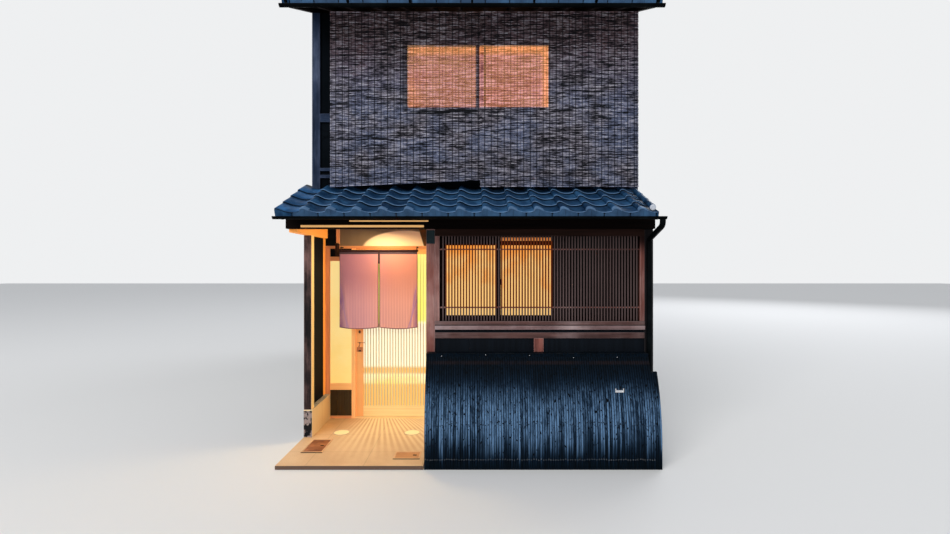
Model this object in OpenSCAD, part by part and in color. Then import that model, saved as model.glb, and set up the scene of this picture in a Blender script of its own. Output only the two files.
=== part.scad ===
// Two-storey machiya townhouse: tiled roofs, recessed porch with a sliding door, lattice bay, reed blinds.
// X runs along the street, Y into the house and Z up. The origin is on the ground, at the middle of the
// frontage, under the front face of the upper wall. Heights are above the porch floor unless they say not.

/* [House] */
// Width across the outer faces of the two side walls
house_w = 3960; // [3900:10:4200]
// Depth from the front face of the upper wall to the back of the house
house_d = 7880; // [6800:10:8600]
// Side of a post, which is also the thickness of a framed wall
post_w = 96; // [88:2:108]
// Thickness of boards that close a frame
board_t = 18; // [12:1:24]

/* [Base] */
// Thickness of the floor slabs, whose top is the porch floor
floor_t = 40; // [30:5:60]
// Height of the plinth that the walls stand on
plinth_h = 333; // [280:5:380]

/* [Storeys] */
// Underside of the porch ceiling
ceiling_z = 2642; // [2600:2:2680]
// Height of the beam under the upper wall
main_beam_h = 180; // [150:5:210]
// Thickness of the upper floor with its joists
upper_floor_t = 120; // [90:5:150]

/* [Main roof] */
// Underside of the main roof at the front face of the upper wall
wall_top_z = 5155; // [4900:5:5400]
// Rise of both roofs as a share of their run
roof_pitch = 0.42; // [0.38:0.01:0.45]
// How far the main roof stands out past the front and rear walls
main_eave = 855; // [700:5:950]
// Thickness of the main roof under its tiles, measured upright
main_roof_t = 92; // [80:2:110]
// How far the main roof stands past the left wall
verge = 60; // [20:5:90]
// Height of the stacked ridge above the slopes that it stands on
ridge_h = 258; // [210:2:310]
// Width of the stacked ridge
ridge_w = 190; // [150:5:240]
// Width of the ridge's round cap as a share of the stack below it
ridge_cap = 0.8; // [0.6:0.05:0.9]

/* [Pent roof] */
// How far the pent roof stands out in front of the upper wall
pent_eave = 955; // [900:5:1000]
// Underside of the pent roof at its eave
pent_soffit_z = 2530; // [2515:5:2560]
// Thickness of the pent roof under its tiles, measured upright
pent_t = 82; // [70:2:100]
// How far the pent roof stands past the left wall
pent_left_out = 90; // [60:5:105]
// How far the pent roof stops short of the right wall's outer face
pent_right_in = 80; // [40:5:110]

/* [Roof tiles] */
// Width of one column of tiles, before the columns are spread over a roof
tile_pitch = 266; // [250:2:290]
// Thickness of a tile at its trough
tile_t = 14; // [10:1:18]
// Height of a tile's roll above its trough, square to the slope
tile_roll_h = 48; // [36:2:60]
// Width of the plain strip beside the columns, as a share of a column
verge_share = 0.55; // [0.45:0.05:0.7]
// Where the first column starts, as a share of a column
first_share = 0.62; // [0.5:0.02:0.7]

/* [Gutters and pipes] */
// Diameter of the gutters
gutter_d = 60; // [50:5:70]
// Wall of the gutters
gutter_wall = 4; // [3:1:6]
// Height of the pent gutter's lip above the soffit
pent_lip_h = 55; // [40:1:80]
// Height of the main gutters' lips above the soffit
main_lip_h = 10; // [4:1:30]
// Fall of a downpipe's run back to the wall, as a share of the run
pipe_fall = 0.3; // [0.2:0.01:0.33]
// Diameter of that run as a share of the pipe's
run_share = 0.85; // [0.7:0.05:0.95]
// Diameter of the downpipes
pipe_d = 60; // [50:5:64]
// Distance of the downpipes' middle from the right wall's outer face
pipe_in = 58; // [50:1:66]
// Gap between a downpipe and the wall behind it
pipe_gap = 12; // [8:1:20]
// Heights of the two collars on the front downpipe
collar_low_z = 1317; // [1250:5:1500]
// Height of the upper collar
collar_high_z = 2144; // [1900:5:2250]

/* [Porch] */
// Width of the porch, from the left wall's outer face to the porch side wall
porch_w = 1439; // [1380:5:1500]
// How far the porch floor runs out in front of the upper wall
porch_front = 905; // [860:5:940]
// Distance of the door frame behind the front face of the upper wall
door_y = 780; // [700:5:900]
// How far the porch posts stand outside the left wall's line
porch_out = 100; // [98:2:120]
// Underside of the beam along the porch's left side
side_beam_z = 2453; // [2380:5:2480]
// Diameter of the round lamps let into the porch floor
floor_lamp_d = 200; // [150:10:240]
// Height of the floor lamps' rims above the floor
floor_lamp_h = 4; // [3:1:8]
// Distance between the centres of the floor lamps
floor_lamp_pitch = 881; // [700:10:950]
// Distance of the floor lamps' middle from the left wall's line
floor_lamp_x = 756; // [700:2:800]
// Distance of the floor lamps behind the front face of the upper wall
floor_lamp_y = 175; // [100:5:300]

/* [Door row] */
// Depth of the door frame
frame_d = 70; // [64:1:90]
// Width of the side light between the left wall's line and the slim post
side_light_w = 294; // [250:2:340]
// Width of the slim post between the side light and the door
slim_post_w = 52; // [40:2:60]
// Underside of the door lintel
lintel_z = 2318; // [2280:2:2330]
// Height of the door lintel
lintel_h = 37; // [34:1:60]
// Height of the rail under the porch ceiling
transom_rail_h = 30; // [24:1:50]
// Width of the upright strut in the transom
strut_w = 48; // [36:2:60]
// Distance of the strut from the left wall's line
strut_x = 84; // [70:2:120]
// Height of the side light's bottom rail above the floor
side_rail_z = 389; // [330:5:450]
// Height of the side light's bottom rail
side_rail_h = 90; // [60:5:110]
// Underside of the side light's head rail
side_head_z = 2149; // [2050:5:2180]
// Height of the side light's head rail
side_head_h = 59; // [40:1:70]
// Height of the side light's foot rail
side_foot_h = 33; // [24:1:60]
// Width of the side light's left stile
side_stile_w = 66; // [50:2:80]
// Thickness of window and door panes
pane_t = 5; // [4:1:8]

/* [Entry door] */
// Thickness of the door leaf
leaf_t = 30; // [26:1:34]
// Running gap around the leaf
leaf_gap = 5; // [5:1:8]
// How far the closed leaf reaches behind the porch side wall
leaf_lap = 30; // [15:1:60]
// Width of the leaf's stiles
leaf_stile_w = 100; // [70:2:110]
// Height of the leaf's kick board
kick_h = 143; // [100:1:220]
// Height of the leaf's top rail
leaf_top_rail_h = 90; // [70:2:120]
// How far the leaf reaches up into the lintel's groove
tongue_h = 14; // [8:1:16]
// How far the leaf slides
travel = 950; // [800:10:980]
// Pitch of the bars in the leaf
leaf_bar_pitch = 38; // [34:1:60]
// Width of the bars in the leaf
leaf_bar_w = 13; // [8:1:16]
// Height of the pull on the leaf
pull_z = 974; // [800:5:1100]
// Height of the lock plate on the leaf
lock_z = 1180; // [1120:5:1300]
// Height of the sill's raised rail
rail_h = 6; // [4:1:8]
// Height of the sill above the floor
sill_h = 12; // [8:1:20]

/* [Noren] */
// Height of the middle of the noren rod
rod_z = 2281; // [2230:1:2300]
// Diameter of the noren rod
rod_d = 20; // [16:1:26]
// Distance of the rod in front of the door frame
rod_out = 120; // [90:5:160]
// Length of the noren rod
rod_l = 1060; // [1000:10:1150]
// Distance of the rod's left end from the left wall's line
rod_left = 160; // [120:5:200]
// Width of one noren panel
noren_panel_w = 500; // [420:5:505]
// Gap between the two noren panels
noren_slit = 34; // [20:2:40]
// Length of the noren below its rod
noren_l = 1020; // [900:10:1200]
// Thickness of the space that the hanging cloth takes
noren_t = 36; // [20:2:60]

/* [Bay] */
// How far the bay stands out in front of the upper wall
bay_out = 535; // [500:5:560]
// Underside of the lattice frame
lattice_z = 1373; // [1365:1:1420]
// Top of the lattice frame, which is the underside of the eave girder
lattice_top_z = 2489; // [2440:1:2500]
// Depth of the lattice frame
lattice_d = 50; // [40:1:60]
// Height of the lattice frame's top rail
lattice_rail_h = 78; // [50:1:90]
// Height of the lattice's sill
lattice_sill_h = 72; // [50:1:90]
// How far the lattice's sill stands out
lattice_sill_out = 22; // [10:1:35]
// Width of the lattice frame's stiles
lattice_stile_w = 50; // [36:1:60]
// Pitch of the lattice bars
bar_pitch = 31.4; // [28:0.2:60]
// Width of a lattice bar
bar_w = 15; // [10:1:20]
// Depth of a lattice bar
bar_d = 24; // [16:1:30]
// Height of the two bars that cross the lattice
cross_h = 14; // [8:1:20]
// Height of the lower cross bar above the lattice frame's underside
cross_low = 236; // [150:2:400]
// Distance of the upper cross bar below the lattice frame's top
cross_high = 232; // [150:2:400]
// Underside of the rail under the lattice
rail_z = 1275; // [1240:1:1280]
// Height of the rail under the lattice
bay_rail_h = 81; // [60:1:85]
// Width of the stud under the rail
stud_w = 107; // [80:1:120]
// Distance of the stud from the bay's left post
stud_x = 1100; // [900:10:1300]
// How far the bay wall's panels stand back from the posts
panel_recess = 20; // [12:1:30]
// Width of one sash of the bay window
sash_w = 607; // [560:1:640]
// Width of the bay window's left jamb
window_jamb_w = 75; // [60:1:90]
// Width of the stiles and rails of the windows
window_stile_w = 44; // [36:1:54]
// Depth of the window frames
window_d = 40; // [32:1:44]
// Depth of the eave girder
girder_d = 100; // [80:2:120]
// How far the girder stands out in front of the bay
girder_out = 65; // [40:5:80]

/* [Leaning fence] */
// Height of the leaning fence of split laths
fence_h = 1135; // [1000:5:1200]
// Height at which the fence starts to curve back
fence_curve_z = 200; // [120:5:300]
// Radius of the fence's curve
fence_r = 1800; // [1700:10:2200]
// Thickness of the fence
fence_t = 30; // [24:1:40]
// Distance of the fence's left end past the porch side wall's face
fence_left = 11; // [5:1:40]
// How far the fence stops short of the right wall's outer face
fence_right_in = 30; // [10:1:60]
// Width of the notch for the downpipe
notch_w = 80; // [76:1:90]
// Height of the notch for the downpipe
notch_h = 190; // [150:5:260]

/* [Upper wall] */
// Width of the upper window's opening
upper_window_w = 1820; // [1500:10:2000]
// Height of the upper window's opening
upper_window_h = 850; // [700:10:900]
// Underside of the upper window's opening
upper_window_z = 3980; // [3900:10:4050]
// Distance of the upper window's middle from the middle of the frontage
upper_window_x = 35; // [-60:5:60]
// How far the plaster stands back from the timbers
plaster_recess = 30; // [20:1:40]
// Underside of the two base rails
base_rail_z = 3150; // [3100:5:3200]
// Height of a base rail
base_rail_h = 36; // [24:1:44]
// Distance between the base rails
base_rail_pitch = 84; // [60:1:110]
// Underside of the middle rail
mid_rail_z = 3830; // [3780:5:3860]
// Height of the middle rail
mid_rail_h = 100; // [80:1:110]

/* [Blinds] */
// Distance of the blinds in front of the upper wall
blind_y = 250; // [220:5:290]
// Thickness of a rolled-down blind
blind_t = 6; // [5:1:8]
// Underside of the blinds
blind_z = 2995; // [2990:1:3050]
// Distance of the blinds' left edge from the left wall's outer face
blind_left_in = 290; // [250:5:320]
// Distance of the blinds' right edge from the right wall's outer face
blind_right_in = 80; // [40:5:120]
// Width that the blinds share where one hangs in front of the other
blind_lap = 40; // [20:5:80]
// Gap between the two blinds
blind_gap = 4; // [3:1:6]
// Distance of the lap from the middle of the frontage
blind_lap_x = 80; // [0:5:150]
// Diameter of the poles along the blinds' edges
blind_pole_d = 16; // [12:1:20]

/* [Rear] */
// Width of the rear windows
rear_window_w = 1700; // [1200:10:2000]
// Height of the rear windows
rear_window_h = 900; // [700:10:1000]
// Underside of the lower rear window
rear_low_z = 1050; // [900:10:1200]
// Underside of the upper rear window
rear_high_z = 3900; // [3800:10:4000]

/* [Hidden] */

// Top of one tile, as shares of the column's width and of the roll's height
TILE_TOP = [[-0.1, 0.1], [0.03, 0.78], [0.09, 1], [0.16, 1], [0.36, 0.42], [0.55, 0.05]];

$fn = 48;
// Gap at which a hung or running piece lies from its seat
seat = 0.3;
// How far a cut reaches past what it cuts
cut = 1;

// Side walls, porch and bay along X
hw = house_w / 2;
left_in = -hw + post_w;
right_in = hw - post_w;
porch_left = -hw - porch_out;
porch_right = -hw + porch_w;
bay_left = porch_right + post_w;

// Planes along Y
mid_y = house_d / 2;
rear_in = house_d - post_w;
door_back = door_y + frame_d;
bay_in = -bay_out + post_w;
plaster_y = plaster_recess;
girder_y = -bay_out - girder_out;

// Heights
beam_z = ceiling_z + board_t;
upper_z = beam_z + main_beam_h;
lintel_top = lintel_z + lintel_h;
transom_rail_z = ceiling_z - transom_rail_h;

// Door leaf, at rest and with its own parts
slim_x = -hw + side_light_w;
leaf_x = slim_x + slim_post_w + leaf_gap;
leaf_w = porch_right + leaf_lap - leaf_x;
leaf_y = door_y + (frame_d - leaf_t) / 2;
leaf_z = sill_h + rail_h + leaf_gap;
leaf_top = lintel_z + tongue_h;
pocket_x = leaf_x + leaf_w + travel + leaf_gap;
groove_w = leaf_t + 2 * leaf_gap;
groove_y = leaf_y - leaf_gap;

// Gutters and the downpipe beside the bay
pent_lip_z = pent_soffit_z + pent_lip_h;
main_lip_z = main_under(-main_eave) + main_lip_h;
pent_gutter_y = -pent_eave - gutter_d / 2;
pipe_x = hw - pipe_in;
pipe_y = -bay_out - pipe_gap - pipe_d / 2;

function main_under(y) = wall_top_z + roof_pitch * min(y, house_d - y);
function pent_under(y) = pent_soffit_z + roof_pitch * (y + pent_eave);

// Lifts what is placed by its height above the floor
module on_floor() {
    translate([0, 0, floor_t]) children();
}

// A box from its lowest corner to its highest
module block(low, high) {
    translate(low) cube(high - low);
}

// Extrudes an outline of [y, z] points from x0 to x1
module along_x(x0, x1) {
    translate([x0, 0, 0]) rotate([90, 0, 90]) linear_extrude(height = x1 - x0) children();
}

// An upright flat frame in the XZ plane, from its low corner to its high one
module flat_frame(x0, x1, z0, z1, y0, depth, stile, rail_low, rail_high) {
    difference() {
        block([x0, y0, z0], [x1, y0 + depth, z1]);
        block([x0 + stile, y0 - cut, z0 + rail_low], [x1 - stile, y0 + depth + cut, z1 - rail_high]);
    }
}

module foundation() {
    color("dimgray") {
        union() {
            block([-hw, door_back, 0], [left_in, house_d, floor_t + plinth_h]);
            block([-hw, rear_in, 0], [hw, house_d, floor_t + plinth_h]);
            block([right_in, -bay_out, 0], [hw, house_d, floor_t + plinth_h]);
            block([porch_right, -bay_out, 0], [hw, bay_in, floor_t + plinth_h]);
            block([porch_right, -bay_out, 0], [bay_left, door_y, floor_t + plinth_h]);
        }
        on_floor() block([porch_left, 0, 0], [-hw, door_back, plinth_h]);
    }
}

module ground_floor() {
    color("tan") union() {
        block([left_in, door_back, 0], [right_in, rear_in, floor_t]);
        block([porch_right, door_y, 0], [right_in, door_back, floor_t]);
        block([bay_left, bay_in, 0], [right_in, door_y, floor_t]);
    }
}

module porch_floor() {
    color("burlywood") block([porch_left, -porch_front, 0], [porch_right, door_back, floor_t]);
}

module floor_lamps() {
    lamp_x = -hw + floor_lamp_x;
    color("lightyellow") on_floor() for (x = [lamp_x - floor_lamp_pitch / 2, lamp_x + floor_lamp_pitch / 2])
        translate([x, floor_lamp_y, 0]) cylinder(d = floor_lamp_d, h = floor_lamp_h);
}

module porch_posts() {
    inner_w = porch_out - side_stile_w;
    color("peru") on_floor() {
        block([porch_left, 0, plinth_h], [porch_left + post_w, post_w, side_beam_z]);
        block([porch_left, door_y - post_w, plinth_h], [porch_left + inner_w, door_back, ceiling_z]);
    }
}

module side_beam() {
    color("peru") on_floor()
        block([porch_left, girder_y + girder_d, side_beam_z],
            [porch_left + post_w, door_y - post_w, ceiling_z]);
}

module porch_side_wall() {
    color("wheat") on_floor()
        block([porch_right, bay_in, plinth_h], [bay_left, door_y, ceiling_z]);
}

module bay_posts() {
    color("sienna") on_floor() for (x = [porch_right, right_in])
        block([x, -bay_out, plinth_h], [x + post_w, bay_in, lattice_top_z]);
}

module eave_girder() {
    color("sienna") on_floor() along_x(porch_left, hw)
        polygon([
            [girder_y, lattice_top_z],
            [girder_y + girder_d, lattice_top_z],
            [girder_y + girder_d, pent_under(girder_y + girder_d)],
            [girder_y, pent_under(girder_y)]
        ]);
}

module porch_ceiling() {
    color("saddlebrown") on_floor()
        block([porch_left, girder_y + girder_d, ceiling_z], [right_in, door_back, beam_z]);
}

// The lintel carries the groove that the leaf's top runs in, on past the porch to the pocket's end post
module door_frame() {
    color("peru") on_floor() union() {
        difference() {
            block([-hw - side_stile_w, door_y, lintel_z], [pocket_x + slim_post_w, door_back, lintel_top]);
            block([leaf_x - leaf_gap, groove_y, lintel_z - cut],
                [pocket_x, groove_y + groove_w, lintel_z + tongue_h + leaf_gap]);
        }
        block([slim_x, door_y, 0], [slim_x + slim_post_w, door_back, lintel_z]);
        block([pocket_x, door_y, 0], [pocket_x + slim_post_w, door_back, lintel_z]);
        block([-hw + strut_x, door_y, lintel_top], [-hw + strut_x + strut_w, door_back, transom_rail_z]);
        block([-hw - side_stile_w, door_y, transom_rail_z], [porch_right, door_back, ceiling_z]);
    }
}

// The sill has a raised rail along its middle for the leaf's wheels
module door_sill() {
    color("silver") on_floor() union() {
        block([slim_x + slim_post_w, door_y, 0], [pocket_x, door_back, sill_h]);
        block([slim_x + slim_post_w, leaf_y + leaf_t / 4, sill_h],
            [pocket_x, leaf_y + 3 * leaf_t / 4, sill_h + rail_h]);
    }
}

module transom_panel() {
    color("cornsilk") on_floor()
        block([-hw + strut_x + strut_w, groove_y, lintel_top],
            [porch_right, groove_y + leaf_t, transom_rail_z]);
}

// Dark boards: between the porch posts, beside the transom, over the side light and at its foot
module dark_boards() {
    color("black") on_floor() {
        block([porch_left + board_t, post_w, plinth_h],
            [porch_left + 2 * board_t, door_y - post_w, side_beam_z]);
        block([-hw - side_stile_w, groove_y, lintel_top],
            [-hw + strut_x, groove_y + board_t, transom_rail_z]);
        block([-hw, groove_y, side_head_z + side_head_h], [slim_x, groove_y + board_t, lintel_z]);
        block([-hw, groove_y, side_foot_h], [slim_x, groove_y + board_t, side_rail_z]);
    }
}

module side_light_frame() {
    color("peru") on_floor() union() {
        block([-hw - side_stile_w, door_y, plinth_h], [-hw, door_back, lintel_z]);
        block([-hw, door_y, 0], [slim_x, door_back, side_foot_h]);
        block([-hw, door_y, side_rail_z], [slim_x, door_back, side_rail_z + side_rail_h]);
        block([-hw, door_y, side_head_z], [slim_x, door_back, side_head_z + side_head_h]);
    }
}

module side_light_glass() {
    color("lemonchiffon", 0.6) on_floor()
        block([-hw, groove_y, side_rail_z + side_rail_h], [slim_x, groove_y + pane_t, side_head_z]);
}

// Slatted sliding leaf: stiles, rails, kick board and upright bars, with two wheels under it
module entry_door() {
    bars_w = leaf_w - 2 * leaf_stile_w;
    bar_n = floor(bars_w / leaf_bar_pitch);
    first = leaf_x + leaf_w / 2 - (bar_n - 1) * leaf_bar_pitch / 2;
    wheel_r = 3 * leaf_gap;
    color("burlywood") on_floor() union() {
        flat_frame(leaf_x, leaf_x + leaf_w, leaf_z, leaf_top, leaf_y, leaf_t, leaf_stile_w,
            kick_h, leaf_top_rail_h);
        for (i = [0 : bar_n - 1]) translate([first + i * leaf_bar_pitch, 0, 0])
            block([-leaf_bar_w / 2, leaf_y, leaf_z + kick_h],
                [leaf_bar_w / 2, leaf_y + leaf_t / 2, leaf_top - leaf_top_rail_h]);
        for (x = [leaf_x + leaf_stile_w, leaf_x + leaf_w - leaf_stile_w])
            translate([x, leaf_y + leaf_t / 2, leaf_z + wheel_r - leaf_gap + seat])
                rotate([90, 0, 0]) cylinder(r = wheel_r, h = leaf_t / 3, center = true);
    }
}

module entry_door_glass() {
    color("lightyellow", 0.6) on_floor()
        block([leaf_x + leaf_stile_w, leaf_y + leaf_t / 2, leaf_z + kick_h],
            [leaf_x + leaf_w - leaf_stile_w, leaf_y + leaf_t / 2 + pane_t, leaf_top - leaf_top_rail_h]);
}

module entry_door_pull() {
    pull_w = leaf_stile_w / 3;
    x = leaf_x + leaf_stile_w / 3;
    color("black") on_floor() {
        block([x, leaf_y - leaf_gap / 2, pull_z - 2 * pull_w], [x + pull_w, leaf_y, pull_z + 2 * pull_w]);
        block([x, leaf_y - leaf_gap / 2, lock_z - pull_w / 2], [x + pull_w, leaf_y, lock_z + pull_w / 2]);
    }
}

// Rod on two arms that reach out from the lintel
module noren_rod() {
    rod_x = -hw + rod_left;
    arm_d = rod_d * 0.7;
    color("saddlebrown") on_floor() union() {
        translate([rod_x, door_y - rod_out, rod_z]) rotate([0, 90, 0]) cylinder(d = rod_d, h = rod_l);
        for (x = [rod_x + rod_d, rod_x + rod_l - rod_d])
            block([x - arm_d / 2, door_y - rod_out, lintel_z + lintel_h / 4],
                [x + arm_d / 2, door_y, lintel_z + lintel_h / 4 + arm_d]);
        for (x = [rod_x + rod_d, rod_x + rod_l - rod_d])
            block([x - arm_d / 2, door_y - rod_out - arm_d / 2, rod_z],
                [x + arm_d / 2, door_y - rod_out + arm_d / 2, lintel_z + lintel_h / 4 + arm_d]);
    }
}

module noren() {
    noren_x = -hw + rod_left + rod_l / 2 - noren_slit / 2 - noren_panel_w;
    top = rod_z - rod_d / 2 - seat;
    color("rosybrown") on_floor() for (i = [0, 1])
        translate([i * (noren_panel_w + noren_slit), 0, 0])
            block([noren_x, door_y - rod_out - noren_t / 2, top - noren_l],
                [noren_x + noren_panel_w, door_y - rod_out + noren_t / 2, top]);
}

module bay_wall() {
    color("darkslategray") on_floor()
        block([bay_left, -bay_out + panel_recess, plinth_h], [right_in, bay_in, lattice_z]);
}

module bay_rail() {
    rail_top = rail_z + bay_rail_h;
    x = bay_left + stud_x;
    color("sienna") on_floor() union() {
        block([bay_left, -bay_out, rail_z], [right_in, -bay_out + panel_recess, rail_top]);
        block([x, -bay_out, plinth_h], [x + stud_w, -bay_out + panel_recess, rail_z]);
    }
}

// Close upright bars in a heavy frame, with two thin bars across them
module window_lattice() {
    x0 = bay_left + lattice_stile_w;
    x1 = right_in - lattice_stile_w;
    bar_n = floor((x1 - x0 - bar_w) / bar_pitch);
    first = (x0 + x1 - (bar_n - 1) * bar_pitch) / 2;
    bar_y = -bay_out + (lattice_d - bar_d) / 2;
    color("sienna") on_floor() union() {
        flat_frame(bay_left, right_in, lattice_z, lattice_top_z, -bay_out, lattice_d, lattice_stile_w,
            lattice_sill_h, lattice_rail_h);
        block([bay_left, -bay_out - lattice_sill_out, lattice_z],
            [right_in, -bay_out, lattice_z + lattice_sill_h]);
        for (i = [0 : bar_n - 1])
            block([first + i * bar_pitch - bar_w / 2, bar_y, lattice_z + lattice_sill_h],
                [first + i * bar_pitch + bar_w / 2, bar_y + bar_d, lattice_top_z - lattice_rail_h]);
        for (z = [lattice_z + cross_low, lattice_top_z - cross_high])
            block([x0, bar_y + bar_d / 2, z], [x1, bar_y + bar_d + cross_h / 2, z + cross_h]);
    }
}

module bay_window_frame() {
    y0 = -bay_out + lattice_d;
    color("sienna") on_floor() difference() {
        block([bay_left, y0, lattice_z], [right_in, y0 + window_d, lattice_top_z]);
        for (i = [0 : 3]) {
            low = bay_left + window_jamb_w + i * sash_w + window_stile_w / 2;
            high = min(low + sash_w - window_stile_w, right_in - window_stile_w);
            block([low, y0 - cut, lattice_z + lattice_sill_h],
                [high, y0 + window_d + cut, lattice_top_z - lattice_rail_h]);
        }
    }
}

module bay_window_glass() {
    y0 = -bay_out + lattice_d + window_d;
    color("khaki", 0.6) on_floor()
        block([bay_left + window_stile_w, y0, lattice_z],
            [right_in - window_stile_w, y0 + pane_t, lattice_top_z]);
}

// Hollow fence of laths that rises straight, then leans back in an arc to a cap against the bay
module leaning_fence() {
    foot_y = -porch_front;
    top_y = foot_y + fence_r - sqrt(fence_r * fence_r - pow(fence_h - fence_curve_z, 2));
    color("darkslategray") on_floor() difference() {
        along_x(porch_right + fence_left, hw - fence_right_in) {
            translate([foot_y, -floor_t]) square([fence_t, floor_t + fence_curve_z]);
            intersection() {
                translate([foot_y, fence_curve_z]) square([porch_front, fence_h - fence_curve_z]);
                translate([foot_y + fence_r, fence_curve_z]) difference() {
                    circle(fence_r, $fn = 360);
                    circle(fence_r - fence_t, $fn = 360);
                }
            }
            translate([top_y + fence_t / 2, fence_h - board_t])
                square([-bay_out - top_y - fence_t / 2, board_t]);
        }
        block([pipe_x - notch_w / 2, foot_y - cut, fence_h - notch_h],
            [pipe_x + notch_w / 2, -bay_out + cut, fence_h + cut]);
    }
}

// Side of a sloping slab, from its low end at y0 and z0 to its high end at y1
module slab_side(y0, y1, z0, t) {
    rise = roof_pitch * (y1 - y0);
    polygon([[y0, z0], [y1, z0 + rise], [y1, z0 + rise + t], [y0, z0 + t]]);
}

// The layer of tiles across a roof, with a roll on each column, over what it is sunk into
module tile_section(w, sunk) {
    tile_n = round(w / tile_pitch - verge_share);
    column = (w - verge_share * tile_pitch) / tile_n;
    polygon(concat(
        [[0, tile_t]],
        [for (k = [0 : tile_n - 1]) for (p = TILE_TOP)
            [(k + first_share + p[0]) * column, tile_t + p[1] * tile_roll_h]],
        [[w, tile_t], [w, -sunk], [0, -sunk]]
    ));
}

// A slope from its eave at y0 and z0 up to its head at y1, with tiles from the eave up to tiles_y
module tiled_slope(x0, x1, y0, y1, z0, t, tiles_y) {
    run = y1 - y0;
    union() {
        along_x(x0, x1) slab_side(y0, y1, z0, t);
        intersection() {
            along_x(x0 - cut, x1 + cut) slab_side(y0, tiles_y, z0 + t / 2, t + 2 * tile_roll_h);
            translate([x0, y0, z0 + t]) rotate([90 + atan(roof_pitch), 0, 0]) translate([0, 0, -2 * run])
                linear_extrude(height = 3 * run) tile_section(x1 - x0, t / 3);
        }
    }
}

module pent_roof() {
    color("slategray") on_floor()
        tiled_slope(-hw - pent_left_out, hw - pent_right_in, -pent_eave, 0, pent_soffit_z, pent_t, 0);
}

module half_round(y, lip_z) {
    translate([y, lip_z]) difference() {
        circle(d = gutter_d);
        circle(d = gutter_d - 2 * gutter_wall);
        translate([-gutter_d, 0]) square(2 * gutter_d);
    }
}

module gutters() {
    color("dimgray") on_floor() {
        along_x(-hw - pent_left_out, hw - pent_right_in + pipe_d) half_round(pent_gutter_y, pent_lip_z);
        along_x(-hw - verge, hw) half_round(-main_eave - gutter_d / 2, main_lip_z);
        along_x(-hw - verge, hw) half_round(house_d + main_eave + gutter_d / 2, main_lip_z);
    }
}

// A pipe that drops from a gutter, runs back to the wall and goes down to the ground
module downpipe(x, wall_y, pipe_y, gutter_y, gutter_z, collars) {
    outlet_z = gutter_z - pipe_d;
    bend_z = outlet_z - abs(pipe_y - gutter_y) * pipe_fall;
    run = sqrt(pow(pipe_y - gutter_y, 2) + pow(outlet_z - bend_z, 2));
    tilt = atan2(pipe_y - gutter_y, outlet_z - bend_z);
    union() {
        translate([x, gutter_y, outlet_z - pipe_d / 2])
            cylinder(d = pipe_d, h = gutter_z - outlet_z + pipe_d / 2);
        translate([x, gutter_y, outlet_z]) rotate([180 + tilt, 0, 0])
            cylinder(d = pipe_d * run_share, h = run);
        translate([x, pipe_y, -floor_t]) cylinder(d = pipe_d, h = bend_z + floor_t + pipe_d / 2);
        for (z = collars) {
            translate([x, pipe_y, z]) cylinder(d = pipe_d + 2 * gutter_wall, h = pipe_d / 2);
            block([x - pipe_d / 6, min(wall_y, pipe_y), z],
                [x + pipe_d / 6, max(wall_y, pipe_y), z + pipe_d / 2]);
        }
    }
}

module downpipes() {
    rear_pipe_y = house_d + pipe_gap + pipe_d / 2;
    rear_gutter_y = house_d + main_eave + gutter_d / 2;
    color("dimgray") on_floor() {
        downpipe(pipe_x, -bay_out, pipe_y, pent_gutter_y, pent_lip_z - gutter_d / 2,
            [collar_low_z, collar_high_z]);
        downpipe(pipe_x, house_d, rear_pipe_y, rear_gutter_y, main_lip_z - gutter_d / 2,
            [collar_low_z, upper_z]);
    }
}

module upper_floor() {
    color("tan") on_floor()
        block([left_in, post_w, upper_z - upper_floor_t], [right_in, rear_in, upper_z]);
}

// Beam, corner posts and the rails that stand in front of the plaster
module upper_timbers() {
    color("slategray") on_floor() union() {
        block([porch_left, 0, beam_z], [hw, post_w, upper_z]);
        for (x = [-hw, right_in]) along_x(x, x + post_w)
            polygon([[0, upper_z], [post_w, upper_z], [post_w, main_under(post_w)], [0, main_under(0)]]);
        for (z = [base_rail_z, base_rail_z + base_rail_pitch])
            block([left_in, 0, z], [right_in, plaster_y, z + base_rail_h]);
        block([left_in, 0, mid_rail_z], [right_in, plaster_y, mid_rail_z + mid_rail_h]);
    }
}

module front_wall() {
    color("black") on_floor() difference() {
        along_x(left_in, right_in) polygon([
            [plaster_y, upper_z],
            [post_w, upper_z],
            [post_w, main_under(post_w)],
            [plaster_y, main_under(plaster_y)]
        ]);
        block([upper_window_x - upper_window_w / 2, -cut, upper_window_z],
            [upper_window_x + upper_window_w / 2, post_w + cut, upper_window_z + upper_window_h]);
    }
}

module left_wall() {
    color("dimgray") on_floor() along_x(-hw, left_in) polygon([
        [door_back, plinth_h],
        [house_d, plinth_h],
        [house_d, main_under(house_d)],
        [mid_y, main_under(mid_y)],
        [post_w, main_under(post_w)],
        [post_w, beam_z],
        [door_back, beam_z]
    ]);
}

module right_wall() {
    color("dimgray") on_floor() along_x(right_in, hw) polygon([
        [bay_in, plinth_h],
        [house_d, plinth_h],
        [house_d, main_under(house_d)],
        [mid_y, main_under(mid_y)],
        [post_w, main_under(post_w)],
        [post_w, beam_z],
        [bay_in, beam_z]
    ]);
}

module rear_wall() {
    color("dimgray") on_floor() difference() {
        along_x(left_in, right_in) polygon([
            [rear_in, plinth_h],
            [house_d, plinth_h],
            [house_d, main_under(house_d)],
            [rear_in, main_under(rear_in)]
        ]);
        for (z = [rear_low_z, rear_high_z])
            block([-rear_window_w / 2, rear_in - cut, z],
                [rear_window_w / 2, house_d + cut, z + rear_window_h]);
    }
}

// A frame with a mullion, filling an opening
module window_frame(x, w, y, z, h) {
    flat_frame(x - w / 2, x + w / 2, z, z + h, y, window_d, window_stile_w, window_stile_w, window_stile_w);
    block([x - window_stile_w / 2, y, z + window_stile_w],
        [x + window_stile_w / 2, y + window_d, z + h - window_stile_w]);
}

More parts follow.
